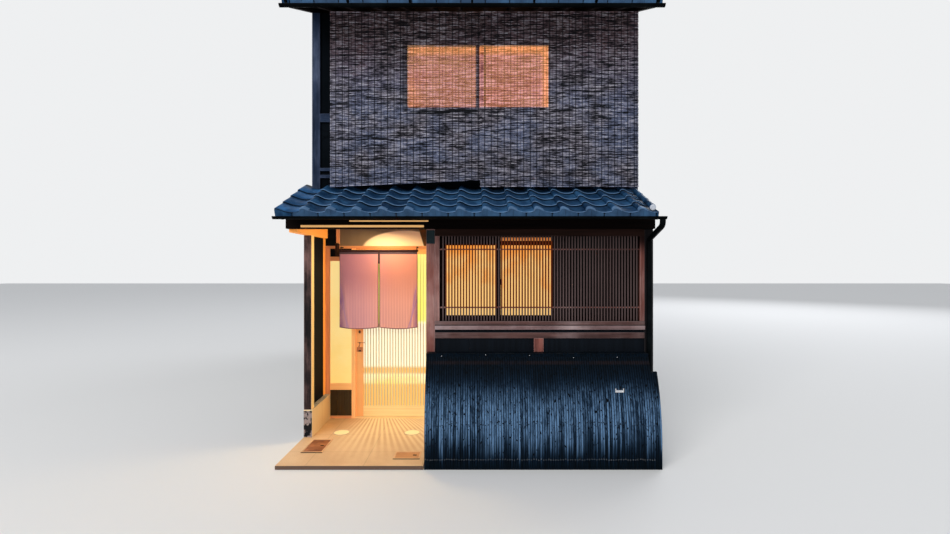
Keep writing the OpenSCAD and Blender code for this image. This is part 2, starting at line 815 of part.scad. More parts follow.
// One sheet behind a frame
module window_pane(x, w, y, z, h) {
    inset = window_stile_w / 2;
    block([x - w / 2 + inset, y, z + inset], [x + w / 2 - inset, y + pane_t, z + h - inset]);
}

module window_frames() {
    color("saddlebrown") on_floor() {
        window_frame(upper_window_x, upper_window_w, plaster_y, upper_window_z, upper_window_h);
        for (z = [rear_low_z, rear_high_z])
            window_frame(0, rear_window_w, house_d - plaster_recess - window_d, z, rear_window_h);
    }
}

module window_glass() {
    color("orange", 0.6) on_floor() {
        window_pane(upper_window_x, upper_window_w, plaster_y + window_d, upper_window_z, upper_window_h);
        for (z = [rear_low_z, rear_high_z])
            window_pane(0, rear_window_w, house_d - plaster_recess - window_d - pane_t, z, rear_window_h);
    }
}

// A blind hung close under the sloping soffit, with a pole along its head and its foot
module blind(x0, x1, y) {
    r = blind_pole_d / 2;
    head_z = main_under(y) - (r + seat) * sqrt(1 + roof_pitch * roof_pitch);
    color("rosybrown") on_floor() union() {
        block([x0, y - blind_t / 2, blind_z + r], [x1, y + blind_t / 2, head_z]);
        for (z = [blind_z + r, head_z])
            translate([x0, y, z]) rotate([0, 90, 0]) cylinder(d = blind_pole_d, h = x1 - x0);
    }
}

module blind_left() {
    blind(-hw + blind_left_in, blind_lap_x + blind_lap / 2, -blind_y);
}

module blind_right() {
    blind(blind_lap_x - blind_lap / 2, hw - blind_right_in, -blind_y - blind_pole_d - blind_gap);
}

// The main roof's front slope, whose tiles stop at the stacked ridge
module main_slope() {
    on_floor() tiled_slope(-hw - verge, hw, -main_eave, mid_y, main_under(-main_eave), main_roof_t,
        mid_y - ridge_w / 2 - seat);
}

module roof_front() {
    color("slategray") main_slope();
}

module roof_rear() {
    color("slategray") translate([-verge, house_d, 0]) rotate([0, 0, 180]) main_slope();
}

module ridge() {
    half = ridge_w / 2;
    foot_z = main_under(mid_y - half) + main_roof_t;
    peak_z = main_under(mid_y) + main_roof_t;
    top_z = peak_z + ridge_h;
    color("slategray") on_floor() along_x(-hw - verge, hw) {
        polygon([
            [mid_y - half, foot_z],
            [mid_y, peak_z],
            [mid_y + half, foot_z],
            [mid_y + half, top_z - half],
            [mid_y - half, top_z - half]
        ]);
        translate([mid_y, top_z - half * ridge_cap]) circle(half * ridge_cap);
    }
}

foundation();
ground_floor();
porch_floor();
floor_lamps();
porch_posts();
porch_side_wall();
side_beam();
bay_posts();
eave_girder();
porch_ceiling();
door_frame();
door_sill();
transom_panel();
dark_boards();
side_light_frame();
side_light_glass();
entry_door();
entry_door_glass();
entry_door_pull();
noren_rod();
noren();
bay_wall();
bay_rail();
window_lattice();
bay_window_frame();
bay_window_glass();
leaning_fence();
pent_roof();
gutters();
downpipes();
upper_floor();
upper_timbers();
front_wall();
left_wall();
right_wall();
rear_wall();
window_frames();
window_glass();
blind_left();
blind_right();
roof_front();
roof_rear();
ridge();
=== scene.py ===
"""Finishes and fine pieces of a machiya townhouse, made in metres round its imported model."""
import logging
import math
from collections.abc import Callable, Sequence
from dataclasses import dataclass, replace
from enum import Enum
from functools import cache

import bmesh
import bpy
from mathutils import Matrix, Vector


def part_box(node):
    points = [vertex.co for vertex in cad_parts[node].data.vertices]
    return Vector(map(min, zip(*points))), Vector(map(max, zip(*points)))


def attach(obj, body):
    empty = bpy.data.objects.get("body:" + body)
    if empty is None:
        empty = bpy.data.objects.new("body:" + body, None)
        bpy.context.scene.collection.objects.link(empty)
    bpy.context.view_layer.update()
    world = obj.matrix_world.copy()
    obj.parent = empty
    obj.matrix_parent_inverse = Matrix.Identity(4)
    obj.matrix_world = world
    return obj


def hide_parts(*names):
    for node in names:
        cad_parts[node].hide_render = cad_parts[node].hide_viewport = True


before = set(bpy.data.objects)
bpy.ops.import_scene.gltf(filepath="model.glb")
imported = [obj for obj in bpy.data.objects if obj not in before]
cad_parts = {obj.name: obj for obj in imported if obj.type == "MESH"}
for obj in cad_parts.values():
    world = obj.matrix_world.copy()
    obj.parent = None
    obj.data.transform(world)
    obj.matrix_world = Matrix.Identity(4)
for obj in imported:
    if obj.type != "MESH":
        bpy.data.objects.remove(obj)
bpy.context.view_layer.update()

logging.basicConfig(level=logging.INFO, format="%(message)s")
log = logging.getLogger("machiya")

Point = tuple[float, float, float]
Colour = tuple[float, float, float]
Span = tuple[float, float]

BLACK = (0.0, 0.0, 0.0)
STILL = (0.0, 0.0, 0.0)
ANYWHERE = (-9.0, 9.0)
# Dark, unlit wood on the outer side of the porch's lit timbers, where their painted glow stops (painted
# shade), and plaster in shadow over the door
UNLIT_OUTER_WOOD = (0.050, 0.038, 0.032)
DIM_PLASTER = (0.100, 0.044, 0.018)


class Axis(Enum):
    """The way a member's grain runs."""

    X = 0
    Y = 1
    Z = 2


class Body(Enum):
    """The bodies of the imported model."""

    HOUSE = "house"
    DOOR = "entry_door"


def term(operation: str, swapped: bool = False) -> Callable[["Val", "Val | float"], "Val"]:
    """An operator of Val that adds one Math node, with its terms swapped in a reflected form."""
    return lambda own, other: own.math(operation, *((other, own) if swapped else (own, other)))


@dataclass(frozen=True, eq=False)
class Val:
    """A node's output, which adds Math nodes where a Python expression uses it."""

    tree: "Tree"
    socket: bpy.types.NodeSocket

    __add__, __radd__ = term("ADD"), term("ADD", True)
    __sub__, __rsub__ = term("SUBTRACT"), term("SUBTRACT", True)
    __mul__, __rmul__ = term("MULTIPLY"), term("MULTIPLY", True)
    __truediv__, __gt__ = term("DIVIDE"), term("GREATER_THAN")

    def math(self, operation: str, *terms: "Val | float") -> "Val":
        """One Math node on the terms, or on this value alone."""
        return self.tree.val("ShaderNodeMath", {"operation": operation}, dict(enumerate(terms or (self,))))

    def band(self, low: float, high: float) -> "Val":
        """Goes smoothly from 0 at low to 1 at high, and stays between them."""
        ends = {"Value": self, "From Min": low, "From Max": high}
        return self.tree.val("ShaderNodeMapRange", {"interpolation_type": "SMOOTHSTEP"}, ends)

    def hump(self, rise: Span, fall: Span) -> "Val":
        """Goes up to 1 over one span and back to 0 over another."""
        return self.band(*rise) * (1.0 - self.band(*fall))


class Tree:
    """A node tree, with one way to add every kind of node."""

    def __init__(self, tree: bpy.types.NodeTree) -> None:
        """Takes over a tree and empties it."""
        self.tree = tree
        tree.nodes.clear()

    def node(self, kind: str, settings: dict, sockets: dict) -> bpy.types.Node:
        """Adds one node.

        Args:
            kind: The node's type.
            settings: Its properties, which are set first.
            sockets: Values or links for its input sockets, by name or number.

        Returns:
            The new node.
        """
        node = self.tree.nodes.new(kind)
        for key, value in settings.items():
            setattr(node, key, value)
        for key, value in sockets.items():
            if isinstance(value, Val):
                self.tree.links.new(value.socket, node.inputs[key])
            else:
                node.inputs[key].default_value = value
        return node

    def val(self, kind: str, settings: dict | None = None, sockets: dict | None = None,
            output: int | str = 0) -> Val:
        """Adds one node and gives one of its outputs."""
        return Val(self, self.node(kind, settings or {}, sockets or {}).outputs[output])

    def vector(self, operation: str, first: Val | Point, second: Val | Point) -> Val:
        """One Vector Math node."""
        return self.val("ShaderNodeVectorMath", {"operation": operation}, {0: first, 1: second})


class Paint(Tree):
    """One material: its tree, its shader, its places in the frame and the colour laid on so far."""

    def __init__(self, name: str, **constants: float | Sequence[float]) -> None:
        """Starts a material.

        Args:
            name: The material's name.
            constants: Values of the shader's own sockets, with _ for a space in the name.
        """
        self.material = bpy.data.materials.new(name)
        self.material.use_nodes = True
        super().__init__(self.material.node_tree)
        values = {key.replace("_", " "): value for key, value in constants.items()}
        self.shader = self.node("ShaderNodeBsdfPrincipled", {}, values)
        self.node("ShaderNodeOutputMaterial", {}, {"Surface": Val(self, self.shader.outputs[0])})
        self.where = self.val("ShaderNodeTexCoord", output="Object")
        self.x, self.y, self.z = (self.part(self.where, axis) for axis in Axis)
        self.colour: Val | Colour = BLACK

    def attribute(self, name: str, output: str = "Fac") -> Val:
        """A named attribute of the mesh."""
        return self.val("ShaderNodeAttribute", {"attribute_name": name}, output=output)

    def part(self, vector: Val, axis: Axis) -> Val:
        """One component of a vector."""
        return self.val("ShaderNodeSeparateXYZ", sockets={0: vector}, output=axis.value)

    def grain(self, *shift: Val | float) -> Val:
        """A place along and across the grain, shifted so that no two members look the same."""
        apart = self.val("ShaderNodeCombineXYZ", sockets=dict(enumerate(shift)))
        return self.vector("ADD", self.attribute("grain", "Vector"), apart)

    def noise(self, scale: Point | float, detail: float = 3.0, rough: float = 0.55,
              where: Val | None = None) -> Val:
        """Noise from 0 to 1.

        Args:
            scale: Its cells for each metre, along the three axes or along each of them.
            detail: Its octaves.
            rough: The weight of the finer octaves.
            where: The place it is read at, if not the place in the frame.

        Returns:
            The noise's height.
        """
        cells = scale if isinstance(scale, tuple) else (scale,) * 3
        sockets = {"Vector": self.vector("MULTIPLY", where or self.where, cells), "Scale": 1.0}
        return self.val("ShaderNodeTexNoise", sockets={**sockets, "Detail": detail, "Roughness": rough})

    def window(self, x: Span, z: Span, soft: float) -> Val:
        """1 inside an upright box that is open along Y, falling to 0 over its soft edge."""
        across, up = (at.hump((low - soft, low + soft), (high - soft, high + soft))
                      for at, (low, high) in ((self.x, x), (self.z, z)))
        return across * up

    def mix(self, share: Val | float, low: Val | Colour, high: Val | Colour) -> Val:
        """A colour between two others."""
        first, second = (end if isinstance(end, Val) else (*end, 1.0) for end in (low, high))
        return self.val("ShaderNodeMix", {"data_type": "RGBA"}, {0: share, 6: first, 7: second}, 2)

    def coat(self, share: Val | float, colour: Val | Colour) -> None:
        """Lays another colour over the one laid on so far."""
        self.colour = self.mix(share, self.colour, colour)

    def finish(self, rough: Val, height: Val | None = None, depth: float = 0.001,
               glow: Val | None = None) -> bpy.types.Material:
        """Links what varies over the surface to the shader.

        Args:
            rough: The roughness.
            height: The relief, from 0 to 1.
            depth: How deep the relief is, in metres.
            glow: The emission colour.

        Returns:
            The material.
        """
        links = {"Base Color": self.colour, "Roughness": rough, "Emission Color": glow}
        if height:
            links["Normal"] = self.val("ShaderNodeBump", {}, {"Height": height, "Distance": depth})
        for key, value in links.items():
            if value:
                self.tree.links.new(value.socket, self.shader.inputs[key])
        return self.material


def dim(colour: Colour, share: float) -> Colour:
    """A colour times a number."""
    return tuple(share * c for c in colour)


class Finish:
    """Base of every finish, whose material is painted once, when it is first asked for."""

    @cache
    def material(self) -> bpy.types.Material:
        """The finish's material."""
        return self.paint()

    def paint(self) -> bpy.types.Material:
        """Paints the material; each finish has its own way."""
        raise NotImplementedError


@dataclass(frozen=True)
class Timber(Finish):
    """Sawn or planed wood, with its grain along each member."""

    name: str
    pale: Colour
    deep: Colour
    worn: Colour
    wear: float = 0.3
    checks: float = 0.5
    streaks: float = 30.0
    rough: float = 0.62
    damp_z: float = 0.0
    # Boxes in X and Z where the wood takes a painted glow of lamp light, and the glow's colour
    lit: tuple[tuple[Span, Span], ...] = ()
    light: Colour = BLACK
    gloss: float = 0.3
    # Painted shade: how far the wood darkens inside the lit boxes, backlit by the panes behind it
    backlit_shade: float = 0.0
    # Left of this X the wood is unlit: painted shade, without the glow
    outer_x: float = -9.0
    # Painted shadow under the eave: its X span and its Z span
    eave_shadow: tuple[Span, Span] | None = None

    def paint(self) -> bpy.types.Material:
        """Streaks and fibres along the grain, drying cracks, weathered patches, worn arrises, painted shadow
        and painted glow.
        """
        p = Paint(self.name, Specular_IOR_Level=self.gloss, Emission_Strength=1.0 if self.lit else 0.0)
        tone = p.attribute("tone") + p.attribute("copy")
        grain = p.grain(tone * 7.3, tone * 3.1, tone * 5.7)
        streak = p.noise((1.1, self.streaks, self.streaks), 4.0, 0.6, grain)
        fibre = p.noise((5.0, 260.0, 260.0), 2.0, where=grain)
        crack = p.noise((0.9, 62.0, 62.0), 3.0, 0.7, grain).band(0.66, 0.70) * self.checks
        patch = p.noise((1.7, 1.7, 1.1), 5.0, 0.62)
        p.colour = p.mix(streak.band(0.30, 0.70) * 0.8 + fibre * 0.2, self.deep, self.pale)
        p.coat(0.28, p.mix((tone.math("FRACT") - 0.5) * 0.35 + 0.5, dim(self.deep, 0.72), self.pale))
        p.coat((patch + fibre * 0.3).band(0.95 - self.wear, 1.15 - self.wear * 0.6) * 0.8, self.worn)
        p.coat(p.attribute("edge") * (0.25 + patch * 0.6), self.worn)
        p.coat(crack, dim(self.deep, 0.25))
        if self.damp_z:
            p.coat((1.0 - (p.z + patch * 0.25).band(0.1, self.damp_z)) * 0.5, dim(self.deep, 0.45))
        # Painted shadow of the eave
        if self.eave_shadow:
            p.coat(p.x.band(*self.eave_shadow[0]) * p.z.band(*self.eave_shadow[1]) * 0.94, dim(self.deep, 0.12))
        glow = None
        if self.lit:
            first, *others = (p.window(*spot, 0.012) for spot in self.lit)
            inside = sum(others, first)
            # Painted shade of wood backlit by the lit panes
            p.coat(inside * self.backlit_shade, self.deep)
            # Painted shade: left of outer_x the wood is dark and unlit, and the glow stops there
            outer = 1.0 - p.x.band(self.outer_x, self.outer_x + 0.002)
            p.coat(outer, UNLIT_OUTER_WOOD)
            glow = p.mix(inside * (1.0 - outer) * (streak * 0.5 + 0.6), BLACK, self.light)
        rough = fibre * 0.16 + streak * 0.1 + (self.rough - 0.12)
        return p.finish(rough, streak * 0.45 + fibre * 0.35 - crack * 0.6, 0.0016, glow)


@dataclass(frozen=True)
class Tile(Finish):
    """Smoked clay roof tile: blue-grey, with a silvery bloom, darker patches, rims in painted light and
    painted shade under its laps.
    """

    name: str
    body: Colour
    bloom: Colour
    shade: Colour
    # Rim: the nose's painted light, a pale highlight on field tiles and a dark line on verge tiles; gap:
    # painted shade
    rim: Colour
    gap: Colour

    def paint(self) -> bpy.types.Material:
        """Each tile its own tone, then bloom, sooty patches, painted shade under the laps and on the front
        faces, painted rim light and fine pitting.
        """
        p = Paint(self.name, Specular_IOR_Level=0.07)
        own, rim = p.attribute("copy"), p.attribute("edge")
        bloom = p.noise((9.0, 6.0, 6.0), 4.0, 0.6)
        p.colour = p.mix(bloom.band(0.35, 0.7), self.body, self.bloom)
        p.coat(own.band(0.0, 1.0) * 0.45, self.shade)
        p.coat(p.noise(2.2, 5.0, 0.65).band(0.52, 0.75) * 0.55, self.shade)
        # Painted shade under the next tile's lap (tone holds the place up the tile) and on the front faces
        # marked -1
        p.coat(p.attribute("tone").band(0.66, 0.82) * 0.85, self.gap)
        # The rim colour on the noses marked 1: painted light
        p.coat(rim * (0.45 + bloom * 0.4), self.rim)
        p.coat(rim * -1.0, self.gap)
        return p.finish(bloom * 0.25 + own * 0.08 + 0.30, bloom * 0.3 + p.noise(420.0, 2.0) * 0.4, 0.0012)


@dataclass(frozen=True)
class Render(Finish):
    """Plaster, mortar or concrete: trowel marks, stains that run down and fine grit."""

    name: str
    body: Colour
    stain: Colour
    pale: Colour
    grit: float = 0.4
    cracks: float = 0.0
    peel: float = 0.0
    foot_z: float = 0.0
    pool: tuple[Point, Point] | None = None
    shadow: Point = (0.0, 0.0, 0.0)
    lit: Colour = BLACK
    gloss: float = 0.3

    def paint(self) -> bpy.types.Material:
        """Trowel marks, runs, grit, hair cracks, peeled paint, and a painted pool of lamp light with a
        painted shadow edge over the door.
        """
        p = Paint(self.name, Specular_IOR_Level=self.gloss)
        cloud, trowel = p.noise((1.3, 1.3, 1.0), 5.0, 0.6), p.noise((7.0, 7.0, 11.0), 3.0, 0.5)
        grit, runs = p.noise(330.0, 2.0), p.noise((16.0, 16.0, 0.7), 4.0, 0.6)
        p.colour = p.mix(cloud.band(0.3, 0.72) * (0.04 if self.peel else 1.0), self.body, self.pale)
        p.coat((runs * 0.6 + cloud * 0.4).band(0.5, 0.72) * 0.6, self.stain)
        p.coat(grit.band(0.55, 0.75) * self.grit * 0.5, self.stain)
        height = trowel * 0.5 + grit * self.grit
        if self.cracks:
            swirl = p.val("ShaderNodeTexNoise", {}, {"Vector": p.where, "Scale": 3.0}, 1)
            bent = p.vector("ADD", p.vector("MULTIPLY", p.where, (1.6, 1.6, 1.6)), swirl)
            cell = p.val("ShaderNodeTexVoronoi", {"feature": "DISTANCE_TO_EDGE"},
                         {"Vector": bent, "Scale": 0.9})
            crack = (1.0 - cell.band(0.0, 0.012)) * (cloud > 0.5) * self.cracks
            p.coat(crack, dim(self.stain, 0.3))
            height = height - crack
        if self.peel:
            flake = p.noise((7.0, 7.0, 5.0), 6.0, 0.7).band(0.500, 0.53)
            p.coat(flake, self.pale)
            height = height + flake * 0.8
        if self.foot_z:
            p.coat((1.0 - (p.z + trowel * 0.2).band(0.05, self.foot_z)) * 0.45, dim(self.stain, 0.55))
        if self.pool:
            middle, size = self.pool
            spread = p.vector("DIVIDE", p.vector("SUBTRACT", p.where, middle), size)
            far = p.val("ShaderNodeVectorMath", {"operation": "LENGTH"}, {0: spread}, 1)
            p.coat(1.0 - far.band(0.94, 1.03), self.lit)
            x, z, lean = self.shadow
            p.coat((p.x + p.z * lean - (x + z * lean)).band(-0.005, 0.010), DIM_PLASTER)
        return p.finish(grit * 0.15 + cloud * 0.1 + 0.72, height, 0.0018)


@dataclass(frozen=True)
class Metal(Finish):
    """Painted or plain metal with dust and small worn spots."""

    name: str
    body: Colour
    dust: Colour
    bare: float = 0.0
    rough: float = 0.4
    gloss: float = 0.4

    def paint(self) -> bpy.types.Material:
        """Paint or bare metal, with dust where it settles and scuffs."""
        p = Paint(self.name, Metallic=self.bare, Specular_IOR_Level=self.gloss)
        dust, scuff = p.noise(5.0, 5.0, 0.65), p.noise((70.0, 70.0, 30.0), 3.0, 0.6)
        p.colour = p.mix(dust.band(0.42, 0.75) * 0.7, self.body, self.dust)
        p.coat(scuff.band(0.62, 0.7) * 0.35, self.dust)
        p.coat(p.attribute("edge") * 0.5, self.dust)
        return p.finish(dust * 0.25 + scuff * 0.1 + self.rough - 0.15, scuff, 0.0004)


@dataclass(frozen=True)
class Pane(Finish):
    """A window pane: lit and frosted where the room behind it is lit, else dark and glossy."""

    name: str
    dark: Colour
    warm: Colour
    hot: Colour
    lit_from: float
    lit_to: float
    low_z: float
    high_z: float
    power: float = 1.0
    tilt: float = 0.35
    bands: tuple[tuple[Span, float, Colour], ...] = ()
    mottle: float = 0.0
    gloss: float = 0.5

    def paint(self) -> bpy.types.Material:
        """A soft glow between two places along X, hotter towards the lamp's height."""
        p = Paint(self.name, Emission_Strength=self.power, Specular_IOR_Level=self.gloss)
        rise = (p.z - self.low_z) * (1.0 / (self.high_z - self.low_z))
        cloud = p.noise((2.3, 2.3, 3.1), 4.0, 0.6)
        lit = p.x.hump((self.lit_from - 0.012, self.lit_from), (self.lit_to, self.lit_to + 0.012))
        fine = (p.noise((7.0, 7.0, 4.5), 3.0, 0.5) - 0.5) * self.mottle
        light = p.mix((rise * self.tilt + cloud * 0.9 + fine).band(0.32, 0.85), self.warm, self.hot)
        # Bands in which the painted glow takes another colour
        for height, start, colour in self.bands:
            light = p.mix(p.window((start, 9.0), height, 0.025) * (cloud * 0.8 + 0.55), light, colour)
        p.colour = p.mix(lit, self.dark, dim(self.warm, 0.35))
        return p.finish(lit * 0.35 + cloud * 0.1 + 0.12, glow=p.mix(lit, BLACK, light))


@dataclass(frozen=True)
class Cloth(Finish):
    """Thin woven cloth, dyed in two tones across its width, with a painted glow of light through it and
    painted shade in its folds and hems.
    """

    name: str
    left: Colour
    right: Colour
    # Painted shade at the top under the rod, along the slit and at the hems; painted shade in folds and
    # creases; the painted light through the cloth
    hem_shade: Colour
    fold: Colour
    through: Colour
    width: Span
    bars: float = 0.0372
    threads: float = 900.0
    # Painted shade along creases, each its lean, start and width
    creases: tuple[Point, ...] = ((0.30, -0.115, 0.030), (0.62, -0.40, 0.024))

    def paint(self) -> bpy.types.Material:
        """Weave, slubs, dye that drifts from one colour to the other, painted shade in creases and at the
        hems, and a faint painted glow.
        """
        p = Paint(self.name, Emission_Strength=0.26, Sheen_Weight=0.05, Sheen_Roughness=0.5)
        uv = p.val("ShaderNodeUVMap", {"uv_map": "cloth"})
        across, down = p.part(uv, Axis.X), p.part(uv, Axis.Y)
        warp, weft = ((way * (self.threads * math.tau)).math("SINE") for way in (across, down))
        slub, blotch = p.noise((260.0, 9.0, 1.0), 3.0, 0.6, uv), p.noise((3.0, 3.0, 2.0), 4.0, 0.6)
        drift = p.x.band(*self.width)
        side, hem_shade = p.attribute("outer"), p.attribute("edge")
        p.colour = p.mix(drift * 0.85 + blotch * 0.3 - 0.1, self.left, self.right)
        p.coat(slub.band(0.5, 0.75) * 0.18, dim(self.right, 1.25))
        bars = (p.x * (1.0 / self.bars) + blotch * 0.3).math("FRACT")
        bars = bars.hump((0.2, 0.4), (0.6, 0.8)) * down.band(0.25, 0.95)
        # Painted light: stripes at the pitch of the door's bars behind the cloth
        p.coat(bars * (drift * 0.12 + 0.08), self.through)
        low = down.band(0.30, 0.75)
        outer = (1.0 - side.band(0.04, 0.16)) * low * (blotch * 1.4).band(0.45, 0.8)
        p.coat(outer * 0.40, self.fold)
        for lean, start, wide in self.creases:
            off = (side - (down * lean + start)).math("ABSOLUTE")
            p.coat((1.0 - off.band(0.0, wide)) * down.band(0.40, 0.56) * (0.35 + blotch * 0.9), self.fold)
        p.coat(hem_shade, self.hem_shade)
        glow = p.mix((1.0 - outer) * (1.0 - hem_shade) * (low * 0.75 + 0.2), BLACK, self.through)
        return p.finish(slub * 0.1 + 0.78, warp * 0.25 + weft * 0.25 + slub * 0.4, 0.0005, glow)


@dataclass(frozen=True)
class Reed(Finish):
    """Split reed, each slat its own tone, with a painted glow where a lit window is behind it."""

    name: str
    pale: Colour
    cool: Colour
    deep: Colour
    bright: Colour
    red: Colour
    glow: Colour
    blush: Colour
    left: float
    right: float
    low: float
    top: float
    mullion: float
    string_pitch: float

    def paint(self) -> bpy.types.Material:
        """Dark gaps and pale runs of slats, strings' shade, the window's painted light through them and
        painted shade of its frame.
        """
        p = Paint(self.name, Emission_Strength=1.0, Specular_IOR_Level=0.2)
        x, z, left, right, low, top, mid = p.x, p.z, self.left, self.right, self.low, self.top, self.mullion
        own = (p.attribute("copy") * 13.7).math("FRACT")
        run, slat = p.noise((4.2, 1.0, 74.0), 3.0, 0.6), p.noise((15.0, 1.0, 125.0), 2.0, 0.6)
        cloud, skin = p.noise((2.6, 1.0, 3.4)), p.noise((60.0, 60.0, 420.0), 2.0)
        shade = (run * 0.80 + slat * 0.62 + own * 0.06 - cloud * 0.20).band(0.565, 0.74)
        p.colour = p.mix(cloud.band(0.35, 0.65), self.pale, self.cool)
        high = (z + cloud * 0.8).band(4.35, 5.35)
        p.coat(high * 0.75 + (slat * 0.6 + cloud * 0.5).band(0.62, 0.75) * 0.35, self.red)
        bright = (1.0 - (slat * 0.6 + run * 0.6).band(0.47, 0.56)) * 0.75
        p.coat(bright, self.bright)
        p.coat(shade, self.deep)
        string = (x * (1.0 / self.string_pitch)).math("FRACT").hump((0.40, 0.46), (0.54, 0.60))
        p.coat(string * 0.9, self.deep)
        inside = p.window((left, right), (low, top), 0.012)
        bar = x.hump((mid - 0.028, mid - 0.016), (mid + 0.016, mid + 0.028))
        sheer = (1.0 - shade * 0.62) * (1.0 - string * 0.75) * (0.60 + skin * 0.4 + bright * 0.35)
        edge = p.window((mid + 0.074, mid + 0.096), (low, top), 0.005)
        lit = inside * (1.0 - bar * 0.9) * (1.0 - edge) * sheer * ((x > mid) * 0.28 + 0.76)
        hot = (1.0 - (top - z).band(0.05, 0.12)) + (1.0 - (right - x).band(0.03, 0.10))
        hot = hot + (1.0 - (x - left + (z - low) * 0.7).band(0.08, 0.36)) * cloud.band(0.3, 0.6)
        light = p.mix(lit, BLACK, p.mix(hot, self.blush, self.glow))
        # Painted shade: the window's sill and casing behind the blind, a dark line beside the mullion, and
        # slats darker where the window lights them from behind
        sill = p.window((left - 0.05, mid), (low - 0.075, low - 0.02), 0.012)
        casing_shade = p.window((left - 0.075, left - 0.012), (low - 0.05, top + 0.02), 0.01)
        p.coat(sill * run.band(0.35, 0.5) + casing_shade * 0.5 + edge + inside * 0.35, self.deep)
        return p.finish(skin * 0.2 + 0.65, run * 0.3 + skin * 0.5, 0.0008, light)


@dataclass(frozen=True)
class Lath(Finish):
    """Black-stained split lath: each its own tone, with pale blue streaks at mid height."""

    name: str
    body: Colour
    stain: Colour
    streak_pale: Colour
    shade: Colour
    rust: Colour

    def paint(self) -> bpy.types.Material:
        """Long streaks, pale at mid height, with knots, a ragged dark foot, a dark top and painted shade at
        each lath's sides.
        """
        p = Paint(self.name, Specular_IOR_Level=0.04)
        copy = p.attribute("copy")
        grain = p.grain(copy * 9.1, copy * 23.0, 0.0)
        streak = p.noise((2.1, 55.0, 55.0), 4.0, 0.65, grain)
        fibre = p.noise((7.0, 330.0, 330.0), 2.0, where=grain)
        cloud = p.noise((2.4, 1.0, 1.6), 4.0, 0.6)
        own = (copy * 7.7).math("FRACT")
        zone = (p.z + own * 0.10 + cloud * 0.36 + streak * 0.16).band(0.31, 0.82)
        zone = zone * (1.0 - (p.z + own * 0.14 + cloud * 0.44 + streak * 0.16).band(0.92, 1.42))
        blotch = zone * (streak * 1.65 + own * 0.50 + cloud * 0.50 - 0.80)
        p.colour = p.mix(streak.band(0.35, 0.65), self.shade, self.body)
        p.coat(zone * (0.35 + own * 0.65), self.stain)
        p.coat(blotch.band(0.10, 0.85), self.streak_pale)
        p.coat(fibre.band(0.50, 0.68) * 0.65, self.shade)
        # Painted shade at each lath's sides, between the laths
        p.coat(p.attribute("side"), self.shade)
        knot = p.noise((24.0, 42.0, 42.0), 1.0, 0.4, grain).band(0.66, 0.70)
        p.coat(knot, self.shade)
        p.coat(p.z.hump((1.050, 1.064), (1.084, 1.098)) * cloud.band(0.30, 0.55) * 0.17, self.rust)
        return p.finish(fibre * 0.15 + 0.5, streak * 0.5 + fibre * 0.5 - knot, 0.0016)


@dataclass(frozen=True)
class Paving(Finish):
    """Porch floor of large pale slabs with narrow joints, warm and a little worn."""

    name: str
    body: Colour
    pale: Colour
    joint: Colour
    light: Colour
    front: Colour
    corner: Span
    slab: Span
    lamp: Span
    door_y: float
    pitch: float

    def paint(self) -> bpy.types.Material:
        """Fine aggregate, scuffs, the joints between the slabs and painted light fanned out by the door's
        bars.
        """
        p = Paint(self.name)
        cloud, grit = p.noise(1.6, 5.0, 0.6), p.noise(260.0, 3.0, 0.7)
        p.colour = p.mix(cloud.band(0.3, 0.7), self.body, self.pale)
        p.coat(grit.band(0.45, 0.7) * 0.3, self.joint)
        edges = []
        for at, start, size in zip((p.x, p.y), self.corner, self.slab):
            gap = 0.0025 / size
            cell = ((at - start) * (1.0 / size)).math("FRACT")
            edges.append(1.0 - cell.hump((gap, 2 * gap), (1 - 2 * gap, 1 - gap)))
        line = (edges[0] + edges[1]).band(0.0, 0.9)
        p.coat(line * 0.4, self.joint)
        # Painted light: stripes fanned out from a lamp behind the door through its bars
        lamp_x, lamp_y = self.lamp
        ray = (p.x - lamp_x) / (lamp_y - p.y) * (lamp_y - self.door_y) + lamp_x
        stripe = (ray * (1.0 / self.pitch)).math("FRACT").hump((0.1, 0.45), (0.6, 0.95))
        p.coat(1.0 - p.y.band(-0.9047, -0.9040), self.front)
        p.coat(stripe * (p.y.band(-0.95, 0.7) * p.x.band(-1.75, -1.35)) * 0.85, self.light)
        return p.finish(grit * 0.2 + 0.5, grit * 0.35 - line * 0.8, 0.0012)


EVERYWHERE = ((ANYWHERE, ANYWHERE),)
# The porch's timbers in its lamp's light: their bright colours and emission glow are painted lamp light; the
# lattice bars take painted glow and painted backlit shade before the bay's lit panes
WARM_WOOD = Timber("warm cypress", (0.80, 0.33, 0.13), (0.52, 0.17, 0.06), (0.84, 0.46, 0.24), 0.16, 0.25,
                   lit=EVERYWHERE, light=(0.16, 0.070, 0.026))
DOOR_WOOD = Timber("door cypress", (0.88, 0.50, 0.20), (0.74, 0.34, 0.12), (0.93, 0.62, 0.34), 0.10, 0.10,
                   44.0, lit=EVERYWHERE, light=(0.27, 0.080, 0.014))
FRAME_WOOD = replace(DOOR_WOOD, name="frame cypress", light=(0.42, 0.19, 0.060))
